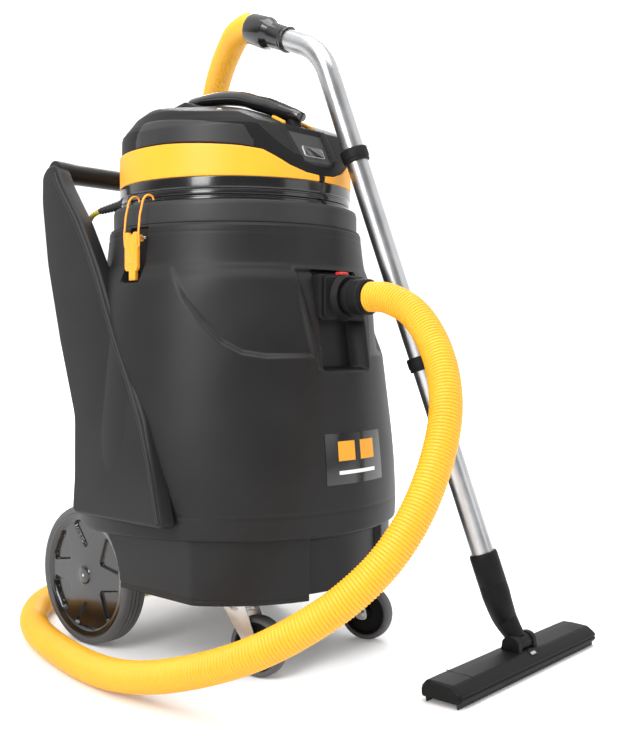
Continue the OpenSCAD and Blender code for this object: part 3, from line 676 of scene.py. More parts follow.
# The mm across the front that one degree stands for, and the depths of the hollows round the inlet
DEG_WIDTH = 4.6
NICHE_DEPTH = 5.0
INLET_SEAT = 27.0
INLET_BACK = 33.0


def drum_depth(front, z):
    """How far the surface stands in, mm, at an angle from the front in degrees and a height."""
    u = front * DEG_WIDTH
    depth = np.zeros(front.shape)
    for side in (-1, 1):
        panel = [(-side * a * DEG_WIDTH, h) for a, h in PANEL]
        mask = inside(u, z, panel, 9.0)
        middle = side * 43.0
        crown = np.clip(1 - ((front - middle) / 30.0) ** 2, 0, 1)
        fall = smooth_step(z, 668, 560)
        depth = np.maximum(depth, mask * (1.5 + 8.5 * fall * (0.35 + 0.65 * crown)))
    niche = inside(u, z, [(a * DEG_WIDTH, h) for a, h in NICHE], 4.0)
    block = inside(u, z, [(-56.6, 578), (56.6, 578), (56.6, 662), (-56.6, 662)], 3.0)
    back = inside(u, z, [(-59, 664), (-53, 502), (53, 502), (55, 664)], 4.0)
    depth = np.maximum(depth, np.maximum(niche * NICHE_DEPTH, back * INLET_BACK))
    depth = np.maximum(depth, block * INLET_SEAT)
    groove = np.exp(-((z - 270) / 1.6) ** 2) * (np.abs(front) < 78) * 1.3
    lip = np.exp(-((z - 726) / 1.5) ** 2) * 0.8
    return depth + groove + lip


def wall_grid(heights, columns):
    """The angle from the front, in degrees, and the height of every point of a round wall."""
    front = np.linspace(-180, 180, columns, endpoint=False)[None, :].repeat(len(heights), axis=0)
    return front, heights[:, None].repeat(columns, axis=1)


def make_drum():
    """The moulded tank: shoulder, facets, the niche under the inlet, latch recesses and wheel arches."""
    columns = 720
    heights = np.concatenate([np.linspace(LEDGE_Z + 4, 640, 150, endpoint=False),
                              np.linspace(640, RIM_Z - 2, 52)])
    front, z = wall_grid(heights, columns)
    radius = drum_radius(z) - drum_depth(front, z)
    angle = turned(front)
    x, y = radius * np.cos(angle), radius * np.sin(angle)
    # latch recesses: flat floors, open at the rim
    recess = inside(y, z, [(-25, 646), (19, 646), (19, 790), (-25, 790)], 2.6) * (np.abs(x) > 150)
    floor_x = 219.8
    scale = np.where(np.abs(x) > floor_x, floor_x / np.maximum(np.abs(x), 1), 1.0)
    x = x * (1 - recess) + x * scale * recess
    # wheel arches
    reach = ARCH_R - np.hypot(y - WHEEL_Y, z - WHEEL_R)
    arch = smooth_step(reach, 0, 3) * (np.abs(x) > ARCH_X)
    pull = np.where(np.abs(x) > ARCH_X, ARCH_X / np.maximum(np.abs(x), 1), 1.0)
    shrink = 1 - arch * (1 - pull)
    x, y = x * shrink, y * shrink
    outer = np.stack([x, y, z], axis=-1)

    def ring_from(source, inset, height):
        size = np.hypot(source[:, 0], source[:, 1])
        factor = (size - inset) / size
        return np.stack([source[:, 0] * factor, source[:, 1] * factor, np.full(len(source), height)], axis=-1)

    foot, top = outer[0], outer[-1]
    rows = [ring_from(foot, 12, LEDGE_Z), ring_from(foot, 3, LEDGE_Z), ring_from(foot, 0.9, LEDGE_Z + 1.2)]
    rows += list(outer)
    rows += [ring_from(top, 0.5, RIM_Z - 0.6), ring_from(top, 1.4, RIM_Z), ring_from(top, 5, RIM_Z),
             ring_from(top, 6, RIM_Z - 20), ring_from(top, 6, LEDGE_Z + 40)]
    verts = np.concatenate(rows)
    build("drum_shell_moulded", verts, grid_faces(len(rows), columns), "charcoal_plastic", crease=50,
          node="drum_shell")


WING_X = 302.0
WING_Z = 258.0
WING_LEAN = 7 * DEGREE
WING_T = 34.0
WING_OUTLINE = [
    (-145, 0), (-78, 164), (26, 325), (84, 418), (148, 505), (216, 580), (234, 606), (246, 618), (268, 618),
    (284, 600), (276, 548), (238, 430), (176, 290), (112, 162), (96, 60), (92, 0),
]
WING_EDGE = [(-145, 0), (-78, 164), (26, 325), (84, 418), (148, 505), (216, 580), (234, 606)]


def wing_frame(side):
    """Columns that take a wing's own (along Y, up, outward) to the machine, leaned in towards the top."""
    lean_up = np.array([-side * math.sin(WING_LEAN), 0, math.cos(WING_LEAN)])
    out = np.array([side * math.cos(WING_LEAN), 0, math.sin(WING_LEAN)])
    return as_columns((0, 1, 0), lean_up, out)


def make_wings():
    """The side wings that carry the handle: rounded slabs with a raised bead along the front edge."""
    outline = rounded(WING_OUTLINE, 14, 6, closed=True)
    for side, name in SIDES:
        frame3 = wing_frame(side)
        base = np.array([side * WING_X, 0, WING_Z])
        plate("handle_wing_" + name, outline, WING_T - 2.5, "charcoal_plastic", frame3=frame3,
              origin=base - (WING_T - 0.2) * frame3[:, 2], bevel=14, steps=7, node="drum_shell")
        bead = smooth_curve([(y + 11 * c, z + 11 * s) for (y, z), (c, s) in wing_inward()], 6)
        path = [base + frame3 @ np.array([y, z, -5.4]) for y, z in bead]
        sweep("wing_bead_" + name, path, 7.2, "charcoal_plastic", sides=20, flat=0.72,
              side=frame3[:, 2], node="drum_shell")


def wing_inward():
    """Points of the wing's front edge with the direction into the wing."""
    out = []
    for i, (y, z) in enumerate(WING_EDGE):
        before = WING_EDGE[max(i - 1, 0)]
        after = WING_EDGE[min(i + 1, len(WING_EDGE) - 1)]
        dy, dz = after[0] - before[0], after[1] - before[1]
        size = math.hypot(dy, dz)
        out.append(((y, z + (10 if i == 0 else 0)), (dz / size, -dy / size)))
    return out


BAR_Y = 262.0
BAR_Z = 860.0
BAR_R = 21.0


def make_handle_bar():
    """The cross bar, swelling into the wings at its ends."""
    line = [(x, BAR_Y, BAR_Z) for x in np.linspace(-213, 213, 72)]
    radii = [BAR_R - 2.2 * smooth_step(213 - abs(p[0]), 8, 60) for p in line]
    sweep("rear_handle_bar_moulded", line, radii, "charcoal_plastic", sides=40, node="rear_handle_bar")


def make_label():
    """A gloss plate on the drum with plain patches in place of any marking."""
    half, low, high, lift = 14.2, 314.0, 397.0, 0.9
    columns, rows = 40, 26

    def on_drum(front, z, out):
        radius = drum_radius(np.array(z, float)) + out
        return (radius * math.cos(turned(front)), radius * math.sin(turned(front)), z)

    def curved(name, a0, a1, z0, z1, out, slot_name, thick):
        """A patch that lies on the drum."""
        verts = []
        for skin in (out, out - thick):
            for z in np.linspace(z0, z1, rows):
                verts += [on_drum(a, z, skin) for a in np.linspace(a0, a1, columns)]
        return build(name, verts, sheet_faces(rows, columns), slot_name, crease=30)

    back = curved("label_plate_gloss", -half, half, low, high, lift, "gloss_black", 0.8)
    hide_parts("label_plate")
    for tag, a0, a1 in (("left", -9.0, -1.4), ("right", 1.4, 9.0)):
        curved("label_mark_" + tag, a0, a1, 352, 384, lift + 0.35, "yellow_plastic", 0.3)
    line = curved("label_line", -9.0, 9.0, 330, 336, lift + 0.35, "yellow_plastic", 0.3)
    line.data.materials[0] = LABEL_WHITE


make_drum()
make_wings()
make_handle_bar()
make_label()



# ---------------------------------------------------------------- head
COLLAR_R = 221.0
COLLAR_TOP = 779.0
SKIRT_TOP = 818.0
BAND_TOP = 874.0
BAND_R = 210.0
COVER_R = 206.0
NOSE_EDGE = [(-206, 874), (-178, 871), (-146, 868), (-112, 863), (-90, 852), (-67, 840), (-36, 831), (0, 828),
             (36, 831), (67, 840), (90, 852), (112, 863), (146, 868), (178, 871), (206, 874)]
DOME = [(0, 976), (60, 974), (110, 969.5), (130, 964), (150, 957), (165, 950), (182, 937), (194, 921),
        (200, 914), (206, 902)]
# The flats of the nose: where each crosses the middle plane (y, height), and its slope
NOSE_FLATS = [(-105.0, 942.0, 0.36), (-105.0, 946.0, 0.532), (-162.0, 917.0, 1.632)]
# A facet on each front shoulder: its direction from the front, a point (distance out, height), and its fall
SHOULDER_TURN = 50.0
SHOULDER_POINT = (51.0, 965.0)
SHOULDER_FALL = 0.27
# Underside of the carry handle along y, and how far the cover lies below it
FINGER_Y = [-156, -103, -38, 8, 60, 100]
FINGER_Z = [931, 950, 972, 982, 986, 988]
FINGER_GAP = 7.0
TRAY = [(-44, -166), (44, -166), (36, -203), (-36, -203)]
POCKET_X = 36.0
BADGE_Y = -189.5


def nose_height(x, y):
    """Height of the edge between the band and the cover."""
    edge = np.interp(x, [p[0] for p in NOSE_EDGE], [p[1] for p in NOSE_EDGE])
    return np.where(y < 0, edge, BAND_TOP)


def make_collar():
    profile = rounded([(198, 741.2), (219.6, 741.2), (COLLAR_R, 743), (COLLAR_R, 772),
                       (COLLAR_R - 2, COLLAR_TOP), (207.5, COLLAR_TOP), (205, 776), (198, 776)], 1.8, 4,
                      closed=True)
    lathe("clamp_collar_ring", profile, "grey_plastic", sides=192, node="clamp_collar")


def make_skirt():
    """The gloss ring under the band, and the stepped ribs below it."""
    corners = [(198.5, 817.8), (209, 817.8), (209.6, 816), (209.6, 800.5), (208.4, 798.5), (206.4, 798),
               (206.4, 795.6), (207.8, 795), (207.8, 789.5), (206.6, 788.5), (204.2, 788), (204.2, 785.5),
               (206, 785), (206, 780.4), (204, 779.4), (198.5, 779.4)]
    lathe("head_skirt_ribbed", rounded(corners, 0.9, 3, closed=True), "gloss_black", sides=192,
          node="head_skirt")


def make_band():
    """The coloured band: full height at the sides and rear, lower under the nose, with a clip in front."""
    columns, rows = 480, 16
    front = np.linspace(1.9, 358.1, columns)
    angle = turned(front)
    top = nose_height(BAND_R * np.cos(angle), BAND_R * np.sin(angle)) - 0.4
    low = SKIRT_TOP + 0.2
    hem = 1.6
    lip = [(203.0, 0.0), (208.9, 0.0), (209.7, 0.6)]
    first = [around(r, angle, low + up) for r, up in lip]
    wall = [around(BAND_R, angle, low + hem + (top - low - 2 * hem) * (k / (rows - 1))) for k in range(rows)]
    last = [around(r, angle, top - down) for r, down in reversed(lip)]
    grid = np.concatenate(first + wall + last)
    count = rows + 2 * len(lip)
    faces = grid_faces(count, columns, wrap=False)
    faces += [((count - 1) * columns + k, (count - 1) * columns + k + 1, k + 1,
               k) for k in range(columns - 1)]
    faces += [tuple(r * columns for r in range(count)),
              tuple(r * columns + columns - 1 for r in range(count))]
    build("head_band_moulded", grid, faces, "yellow_plastic", crease=40, node="head_band")
    outline = rounded([(-5.6, 0), (5.6, 0), (5.6, 5.6), (8.4, 9.4), (-8.4, 9.4), (-5.6, 5.6)], 1.2, 3,
                      closed=True)
    plate("band_clip", outline, 5.5, "black_plastic", bevel=1.0,
          frame3=FACING_FRONT, origin=(0, -205.2, SKIRT_TOP), node="head_band")


def dome_height(x, y):
    """The cover's top: a dome cut by the two flats of the nose, with a spine, a finger recess and a tray."""
    u, v = np.asarray(x, float), np.asarray(y, float)
    dome = np.interp(np.hypot(u, v), [p[0] for p in DOME], [p[1] for p in DOME])
    for start, height, slope in NOSE_FLATS:
        dome = soft_min(dome, height + slope * (v - start), 3.0)
    for side in (-1, 1):
        out = side * u * math.sin(SHOULDER_TURN * DEGREE) - v * math.cos(SHOULDER_TURN * DEGREE)
        dome = soft_min(dome, SHOULDER_POINT[1] - SHOULDER_FALL * (out - SHOULDER_POINT[0]), 3.0)
    # the spine that carries the grip's rear end
    half = np.interp(v, [-206, -150, -90, 0, 80, 150, 206], [50, 46, 42, 40, 40, 50, 66])
    rise = np.interp(v, [-20, 30, 61, 85, 100, 130, 165, 200], [0, 3, 9, 19, 25, 25, 14, 2])
    dome = dome + rise * smooth_step(half - np.abs(u), -16, 10)
    under = np.interp(v, FINGER_Y, FINGER_Z) - FINGER_GAP
    recess = inside(u, v, [(-27, -86), (27, -86), (25, 68), (-25, 68)], 7.0)
    dome = dome - recess * np.maximum(dome - under, 0)
    # cheeks each side of the tray on the lower flat, and the pockets of the rockers
    cheeks = inside(u, v, [(-60, -160), (60, -160), (50, -206), (-50, -206)], 5.0)
    dome = dome + 2.6 * cheeks - 6.2 * inside(u, v, TRAY, 2.2)
    for side in (-1, 1):
        left, right = side * POCKET_X - 9.5, side * POCKET_X + 9.5
        dome = dome - 9.0 * inside(u, v, [(left, -157), (right, -157), (right, -121), (left, -121)], 1.6)
    return dome


def soft_min(a, b, k):
    """The lower of two heights, blended over about k mm."""
    return 0.5 * (a + b - np.sqrt((a - b) ** 2 + k * k))


def make_cover():
    columns = 640
    rho = np.concatenate([np.linspace(3, 90, 26, endpoint=False), np.linspace(90, 202.5, 86)])
    angle = np.linspace(0, 2 * np.pi, columns, endpoint=False)
    rows = []
    for r in rho:
        x, y = r * np.cos(angle), r * np.sin(angle)
        z = np.maximum(dome_height(x, y), nose_height(x, y) + 1.5)
        rows.append(np.stack([x, y, z], axis=-1))
    x, y = np.cos(angle), np.sin(angle)
    brim = rows[-1][:, 2]
    foot = nose_height(COVER_R * x, COVER_R * y) + 0.2
    edge = np.maximum(brim - 1.2, foot + 0.6)
    for r, share in ((204.6, 0.0), (205.8, 0.12), (206.0, 0.4), (206.0, 0.75), (206.0, 1.0), (203.0, 1.0)):
        drop = 0.6 * (r > 204.7)
        height = edge - drop - (edge - drop - foot) * share
        rows.append(np.stack([r * x, r * y, height], axis=-1))
    inner = np.minimum(brim - 5, foot + 6)
    rows.append(np.stack([200.0 * x, 200.0 * y, np.maximum(inner, foot)], axis=-1))
    verts = np.concatenate(rows)
    faces = grid_faces(len(rows), columns)
    faces.append(tuple(range(columns)))
    build("head_cover_moulded", verts, faces, "black_plastic", crease=42, node="head_cover")
    shoulder_panels()
    nose_tray()


PANEL_FRONT = (36.0, 100.0)
PANEL_TOP = [(36, 899), (42, 902), (66, 912), (87, 919), (96, 919), (100, 915)]


def wall_radius(z):
    """The cover's radius at a height on its rim."""
    return np.interp(z, [902, 914, 921, 937], [206, 200, 194, 182])


def shoulder_panels():
    """Satin panels that stand proud of the cover's steep sides, with a crisp step along their top."""
    for side, name in SIDES:
        columns, rows = 90, 24
        front = np.linspace(*PANEL_FRONT, columns)
        angle = turned(front * side)
        top = np.interp(front, [p[0] for p in PANEL_TOP], [p[1] for p in PANEL_TOP])
        low = nose_height(COVER_R * np.cos(angle), COVER_R * np.sin(angle)) + 2.2
        ends = smooth_step(np.minimum(front - PANEL_FRONT[0], PANEL_FRONT[1] - front), 0.0, 5.0)
        skins = []
        for lift in (1.6, -1.5):
            for k in range(rows):
                t = k / (rows - 1)
                z = low + (top - low) * (0.35 + 0.65 * ends) * t
                edge = 1 - smooth_step(abs(t - 0.5), 0.47, 0.5)
                r = wall_radius(z) + np.where(lift > 0, (lift - 1.1) * edge + 1.1 * edge * ends, lift)
                skins.append(around(r, angle, z))
        build("shoulder_panel_" + name, np.concatenate(skins), sheet_faces(rows, columns), "grey_plastic",
              crease=30, node="head_cover")


def nose_tray():
    """A satin sheet on the floor of the nose's tray."""
    columns, rows = 41, 25
    sheet = []
    for lift in (1.0, -1.4):
        for k in range(rows):
            t = k / (rows - 1)
            half = 41.5 - 7.2 * t
            x = np.linspace(-half, half, columns)
            y = np.full(columns, -168.0 - 33.4 * t)
            sheet.append(np.stack([x, y, dome_height(x, y) + lift], axis=-1))
    build("nose_tray_sheet", np.concatenate(sheet), sheet_faces(rows, columns), "grey_plastic", crease=40,
          node="head_cover")


GRIP = [(118, 995, 7), (113, 998, 11), (60, 998.5, 12), (20, 995, 13), (-24, 986.5, 14), (-55, 975.5, 14.6),
        (-87, 964.5, 15.5), (-117, 951.5, 15), (-147, 940, 12.5), (-163, 935, 8)]


def make_grip():
    """The carry handle: a fat sleeve on its two feet."""
    line = smooth_curve([(0, y, z) for y, z, _ in GRIP], 8)
    radii = np.interp(np.linspace(0, len(GRIP) - 1, len(line)), range(len(GRIP)), [g[2] for g in GRIP])
    sweep("carry_grip_sleeve", line, radii * 1.28, "gloss_black", sides=32, flat=0.78,
          side=(1, 0, 0), crease=60, node="carry_grip")
    sweep("carry_grip_foot_rear", smooth_curve([(0, 110, 962), (0, 110, 978), (0, 107, 992)], 5),
          12.0, "black_plastic", sides=28, flat=1.3, side=(0, 1, 0), node="carry_grip")
    sweep("carry_grip_foot_front", smooth_curve([(0, -150, 905), (0, -147, 918), (0, -142, 932)], 5),
          [13 - 1.2 * t for t in np.linspace(0, 1, 11)], "black_plastic", sides=28, flat=1.0,
          side=(0, 1, 0), node="carry_grip")


def make_badge():
    """A small plain plate in the tray of the nose."""
    slope = unit((0, -1.0, -NOSE_FLATS[-1][2]))
    frame3 = as_columns((1, 0, 0), -slope, np.cross((1.0, 0, 0), -slope))
    outline = rounded([(-25, -10), (22, -10), (25, 10), (-22, 10)], 4, closed=True)
    place = np.array([0, BADGE_Y, float(dome_height(np.array([0.0]), np.array([BADGE_Y]))[0]) + 1.2])
    plate("badge_plate_rim", outline * 1.1, 1.8, "badge_grey", frame3=frame3,
          origin=place - 0.4 * frame3[:, 2], bevel=0.6, node="badge_plate")
    plate("badge_plate_face", outline, 0.9, "gloss_black", frame3=frame3,
          origin=place + 1.3 * frame3[:, 2], bevel=0.3, node="badge_plate")


make_collar()
make_skirt()
make_band()
make_cover()
make_grip()
make_badge()


# ---------------------------------------------------------------- rear wheels
WHEEL_W = 48.0
HUB_R = 111.7
SPOKES = 6


def bent_steps(points, radius=0.8):
    """A closed profile with its corners slightly rounded."""
    return rounded(points, radius, 3, closed=True)


POCKET_DEPTH = 5.0


def hub_pockets(radius, angle):
    """How deep the outer face of a wheel's disc lies, with a triangular pocket between two spokes."""
    depth = np.interp(radius, [0, 8, 15, 17, 24, 60, 98, 101, 106, 108, HUB_R],
                      [1.2, 1.4, 2.6, 4.6, 5.2, 6.4, 7.2, 4.6, 3.0, 2.0, 2.2])
    turn = 2 * np.pi / SPOKES
    local = (angle + turn / 2) % turn - turn / 2
    u, v = radius * np.cos(local), radius * np.sin(local)
    pocket = inside(u, v, [(52, -3), (52, 3), (88, 33), (95, 26), (97, 0), (95, -26), (88, -33)], 2.4)
    return depth + pocket * POCKET_DEPTH


def make_wheels():
    tyre = [(112, 2.6), (113.6, 0.9), (117, 0.2), (120.6, 0.9), (123.4, 3.2), (124.7, 6.2)]
    for groove in (15.5, 24.0, 32.5):
        tyre += [(125, groove - 0.9), (123.2, groove - 0.5), (123.2, groove + 0.5), (125, groove + 0.9)]
    tyre += [(124.7, WHEEL_W - 6.2), (123.4, WHEEL_W - 3.2), (120.6, WHEEL_W - 0.9), (117, WHEEL_W - 0.2),
             (112, WHEEL_W - 1.5)]
    for side, name in SIDES:
        body = "rear_wheel_" + name
        centre = np.array([side * WHEEL_X, WHEEL_Y, WHEEL_R])
        inward = np.array([-side, 0, 0])
        lathe("rear_tyre_" + name, tyre, "tyre_grey", body, centre, inward, sides=144,
              node="wheel_tyre_" + name)
        radii = np.concatenate([[0.6, 4, 7.9, 8.4, 12, 14.8, 15.4, 17.2], np.linspace(20, 48, 9),
                                np.linspace(50, 100, 44), np.linspace(101, HUB_R, 10)])
        sides = 288
        angles = np.linspace(0, 2 * np.pi, sides, endpoint=False)
        frame3 = basis(inward, (0, 0, 1))
        rows = []
        for r in radii:
            depth = hub_pockets(np.full(sides, r), angles)
            rows.append(around(r, angles, depth))
        back = [(HUB_R, 45.4), (105, 45.4), (104, 24), (34, 22), (24, 46), (14, 47.6), (10, 47.6), (9.1, 24),
                (0.6, 23.0)]
        rows += [around(r, angles, z) for r, z in back]
        verts = np.concatenate(rows) @ frame3.T + centre
        faces = grid_faces(len(rows), sides)
        faces.append(tuple(range(sides)))
        faces.append(tuple((len(rows) - 1) * sides + k for k in range(sides)))
        build("rear_hub_" + name, verts, faces, "gloss_black", body, crease=34, node="wheel_hub_" + name)
        lathe("rear_axle_end_" + name, [(0.3, 0.5), (2.2, 0.6), (2.9, 1.0), (3.0, 3.0), (0.3, 3.0)],
              "zinc_steel", body, centre, inward, sides=24, node="wheel_hub_" + name)
    lathe("rear_axle_bar", bent_steps([(0.4, -214), (8.4, -214), (9, -213), (9, 213), (8.4, 214),
                                       (0.4, 214)]),
          "zinc_steel", "root", (0, WHEEL_Y, WHEEL_R), (1, 0, 0), sides=48, node="rear_axle")


# ---------------------------------------------------------------- casters
CASTER_X = 140.0
CASTER_Y = -155.0
CASTER_TURN = 12 * DEGREE
CASTER_R = 50.0
TRAIL = 35.0
FORK_TOP = 124.0
CHASSIS_Z = 128.0


def caster_frame():
    """Columns that take a caster's own axes to the machine's."""
    c, s = math.cos(CASTER_TURN), math.sin(CASTER_TURN)
    return np.array([[c, -s, 0], [s, c, 0], [0, 0, 1.0]])


def make_casters():
    turn = caster_frame()
    leg = rounded(
        [(-22, 119.5), (21, 119.5), (21, 108), (12, 98), (-21, 52), (-25, 41), (-35, 38.6), (-45, 41),
         (-46, 53), (-34, 84), (-25, 108)], 6, closed=True)
    race = [(5.2, 105.2), (15, 105.2), (20, 107), (22.8, 110), (23, 112.5), (21, 113.4), (21, 114.4),
            (23, 115.4), (23, 117), (20.5, 117.8), (5.2, 117.8)]
    tyre = [(40.2, -11.6), (44, -13.2), (47.2, -12.2), (49.2, -9), (50, -4), (50, 4), (49.2, 9), (47.2, 12.2),
            (44, 13.2), (40.2, 11.6)]
    hub = [(4.1, -16.8), (9, -16.8), (12.5, -15.6), (13.2, -12), (15, -7), (30, -5), (35, -6), (37.5, -11.4),
           (40, -11.6), (40, 11.6), (37.5, 11.4), (35, 6), (30, 5), (15, 7), (13.2, 12), (12.5, 15.6),
           (9, 16.8), (4.1, 16.8)]
    for side, name in SIDES:
        foot = np.array([side * CASTER_X, CASTER_Y, 0.0])
        body = "caster_" + name
        roller = "caster_roller_" + name
        hold = foot + turn @ np.array([0, -TRAIL, CASTER_R])
        across = turn[:, 0]
        leg_frame = as_columns(turn[:, 1], turn[:, 2], turn[:, 0])
        for tag, x in (("a", -21.0), ("b", 18.0)):
            plate("caster_leg_%s_%s" % (name, tag), leg, 3.0, "zinc_steel", body, leg_frame,
                  foot + x * across, bevel=0.9, node="caster_fork_" + name)
        lathe("caster_race_" + name, race, "zinc_steel", body, foot, (0, 0, 1), sides=72,
              node="caster_fork_" + name)
        arch = rounded([(-19, -20), (19, -20), (19, 17), (-19, 17)], 7, closed=True)
        plate("caster_bridge_" + name, arch, 3.2, "zinc_steel", body, turn, foot + (0, 0, 105.4), bevel=1.0,
              node="caster_fork_" + name)
        lathe("caster_bolt_shank_" + name, bent_steps([(0.3, -26), (3.9, -26), (3.9, 26), (0.3, 26)], 0.5),
              "zinc_steel", body, hold, across, sides=32, node="caster_bolt_" + name)
        for tag, start, out in (("head", -21.2, -1), ("nut", 21.2, 1)):
            hexagon = [(6.6, 0), (6.9, 0.4), (6.9, 3.2), (6.2, 4.0), (0.3, 4.0), (0.3, 0)]
            lathe("caster_%s_%s" % (tag, name), hexagon, "zinc_steel", body, hold + start * across,
                  out * across, sides=6, crease=20, node="caster_bolt_" + name)
        lathe("caster_hub_" + name, hub, "black_plastic", roller, hold, across, sides=96,
              node="caster_wheel_" + name)
        lathe("caster_tread_" + name, rounded(tyre, 1.2, 2, closed=True), "tyre_grey", roller, hold,
              across, sides=96, node="caster_tyre_" + name)
        base = rounded([(-22, -34), (22, -34), (22, 34), (-22, 34)], 6, closed=True)
        plate("caster_plate_" + name, base, 3.9, "zinc_steel", "root", np.eye(3), foot + (0, 0, FORK_TOP),
              bevel=0.8, node="caster_plates")
        lathe("caster_kingpin_" + name,
              [(0.4, 99), (7, 99), (8, 99.8), (8, 101.6), (5, 102), (5, 118), (17, 118), (18, 119), (18, 124),
               (0.4, 124)], "zinc_steel", "root", foot, (0, 0, 1), sides=48, node="caster_plates")
        for i, (dx, dy) in enumerate(((-15, -26), (15, -26), (15, 26), (-15, 26))):
            lathe("caster_screw_%s_%d" % (name, i + 1),
                  [(0.3, 121), (3.8, 121), (4.6, 121.5), (5, 122.6), (5, 123.8), (2.8, 124), (2.8, 143.5),
                   (0.3, 144)], "zinc_steel", "root", foot + (dx, dy, 0), (0, 0, 1), sides=24,
                  node="caster_screws")


# ---------------------------------------------------------------- latches
LATCH_X = 247.0
LATCH_T = 8.0
LATCH_PIN = (236.0, 718.0)
BAIL_LINE = [(243, 704), (244.5, 724), (241, 756), (234, 782), (228, 789), (220, 791), (213.5, 788),
             (211.5, 783)]
BAIL_LEGS = (-21.5, 15.5)


def make_latches():
    lever = rounded(
        [(-19, 728), (-10.5, 728), (-3, 719.5), (4.5, 728), (13, 728), (13, 668), (10, 664), (2, 664),
         (2, 648), (-14, 648), (-14, 664), (-16, 664), (-19, 668)], 2.0, 4, closed=True)
    lip_line = rounded([(-13, 650), (1, 650), (1, 655), (-13, 655)], 2, 3, closed=True)
    pad = rounded([(-14, 712), (-3, 701), (8, 712), (8, 676), (-14, 676)], 2.5, 4, closed=True)
    for side, name in SIDES:
        body = "latch_" + name
        frame3 = as_columns((0, 1, 0), (0, 0, 1), (side, 0, 0))
        plate("latch_flap_" + name, lever, LATCH_T - 0.9, "orange_plastic", body, frame3,
              (side * (LATCH_X - LATCH_T), 0, 0), bevel=1.6, steps=4, node="latch_lever_" + name)
        plate("latch_pad_" + name, pad, 1.6, "orange_plastic", body, frame3,
              (side * (LATCH_X - 1.8), 0, 0), bevel=0.7, node="latch_lever_" + name)
        plate("latch_lip_" + name, lip_line, 2.0, "orange_plastic", body, frame3,
              (side * (LATCH_X - 2.0), 0, 0), bevel=0.9, node="latch_lever_" + name)
        lathe("latch_knuckle_" + name,
              [(2.6, 0), (5.4, 0), (6, 0.6), (6, 31.4), (5.4, 32), (2.6, 32)], "orange_plastic", body,
              (side * LATCH_PIN[0], -19, LATCH_PIN[1]), (0, 1, 0), sides=40, node="latch_lever_" + name)
        wire = [(side * x, BAIL_LEGS[0], z) for x, z in reversed(BAIL_LINE)]
        wire += [(side * x, BAIL_LEGS[1], z) for x, z in BAIL_LINE]
        sweep("latch_wire_" + name, rounded(wire, 3.0, 5), 1.8, "wire_orange", "bail_" + name, sides=14,
              crease=80, node="latch_bail_" + name)
    for side, name in SIDES:
        lathe("latch_pin_" + name, [(0.3, -30), (2.1, -30), (2.5, -29.6), (2.5, 23.6), (2.1, 24), (0.3, 24)],
              "zinc_steel", "root", (side * LATCH_PIN[0], 0, LATCH_PIN[1]), (0, 1, 0), sides=24,
              node="latch_pins")


# ---------------------------------------------------------------- inlet
INLET_Z = 620.0


def hoop(name, outer, inner, depth, slot_name, body, frame3, origin, node=None):
    """A frame between two outlines with the same number of points, with chamfered edges."""
    chamfer = 0.8
    outer, inner = np.asarray(outer, float), np.asarray(inner, float)
    out_mid, in_mid = outer.mean(axis=0), inner.mean(axis=0)

    def pulled(line, middle, by):
        reach = np.linalg.norm(line - middle, axis=1)[:, None]
        return line + (line - middle) / reach * by

    loops = [(outer, 0.0), (outer, depth - chamfer), (pulled(outer, out_mid, -chamfer), depth),
             (pulled(inner, in_mid, chamfer), depth), (inner, depth - chamfer), (inner, 0.0)]
    verts = [frame3 @ np.array([x, y, z]) + np.asarray(origin, float) for line, z in loops for x, y in line]
    return build(name, verts, ring_faces(len(loops), len(outer)), slot_name, body, node=node)


def box_line(x0, y0, x1, y1, radius):
    """A rectangle with rounded corners."""
    return rounded([(x0, y0), (x1, y0), (x1, y1), (x0, y1)], radius, closed=True)


def make_inlet():
    """The moulded inlet block with its round boss, the hose's bayonet and the red release."""
    plate("inlet_slab", box_line(-57.6, -37.6, 57.6, 37.6, 7), 20, "black_plastic", "root", FACING_FRONT,
          (0, -236.6, INLET_Z), bevel=2.2, node="inlet_block")
    plate("inlet_face", box_line(-51, -35, 54, 35, 9), 5.6, "black_plastic", "root", FACING_FRONT,
          (0, -255.6, INLET_Z), bevel=2.6, steps=4, node="inlet_block")
    lathe("inlet_boss", [(27.2, 258), (40, 258), (38.6, 263), (36.4, 266), (36, 270.6), (35, 272), (29, 272),
                         (27.2, 270.8)], "black_plastic", "root", (0, 0, INLET_Z), (0, -1, 0), sides=96,
          node="inlet_block")
    hoop("inlet_release_guard", box_line(-16, -10.6, 16, 10.6, 3), box_line(-11.4, -8, 11.4, 8, 2), 3.2,
         "black_plastic", "root", np.eye(3), (0, -252.6, INLET_Z + 34.6), node="inlet_block")
    profile = [(20.2, 238.4), (26.8, 238.4), (27, 240), (27, 275.6), (29, 276.2), (30, 277.4), (30, 283),
               (29.2, 284), (29.2, 287), (30, 288), (30, 303), (29.4, 306), (28.4, 307), (28.4, 309),
               (29.4, 310), (29.2, 313.2), (27.6, 313.9), (25.4, 313.9), (20.2, 312)]
    lathe("hose_bayonet_cuff", profile, "black_plastic", "root", (0, 0, INLET_Z), (0, -1, 0), sides=96,
          node="hose_bayonet")
    plate("release_key", box_line(-9.8, -6.8, 9.8, 6.8, 2.2), 10.6, "red_plastic", "inlet_release", np.eye(3),
          (0, -254, INLET_Z + 32.2), bevel=1.6, steps=4, node="release_button")
    for k, x in enumerate((-5, 0, 5)):
        sweep("release_key_rib_%d" % (k + 1), [(x, -259.4, INLET_Z + 42.3), (x, -256, INLET_Z + 42.7),
                                               (x, -252, INLET_Z + 42.7), (x, -248.6, INLET_Z + 42.3)],
              [0.3, 0.7, 0.7, 0.3], "red_plastic", "inlet_release", sides=10, node="release_button")


# ---------------------------------------------------------------- switches
ROCKER_X = 36.0
ROCKER_AT = (-139.0, 921.0)
ROCKER_TILT = 27 * DEGREE
ROCKER_HALF = 5.6


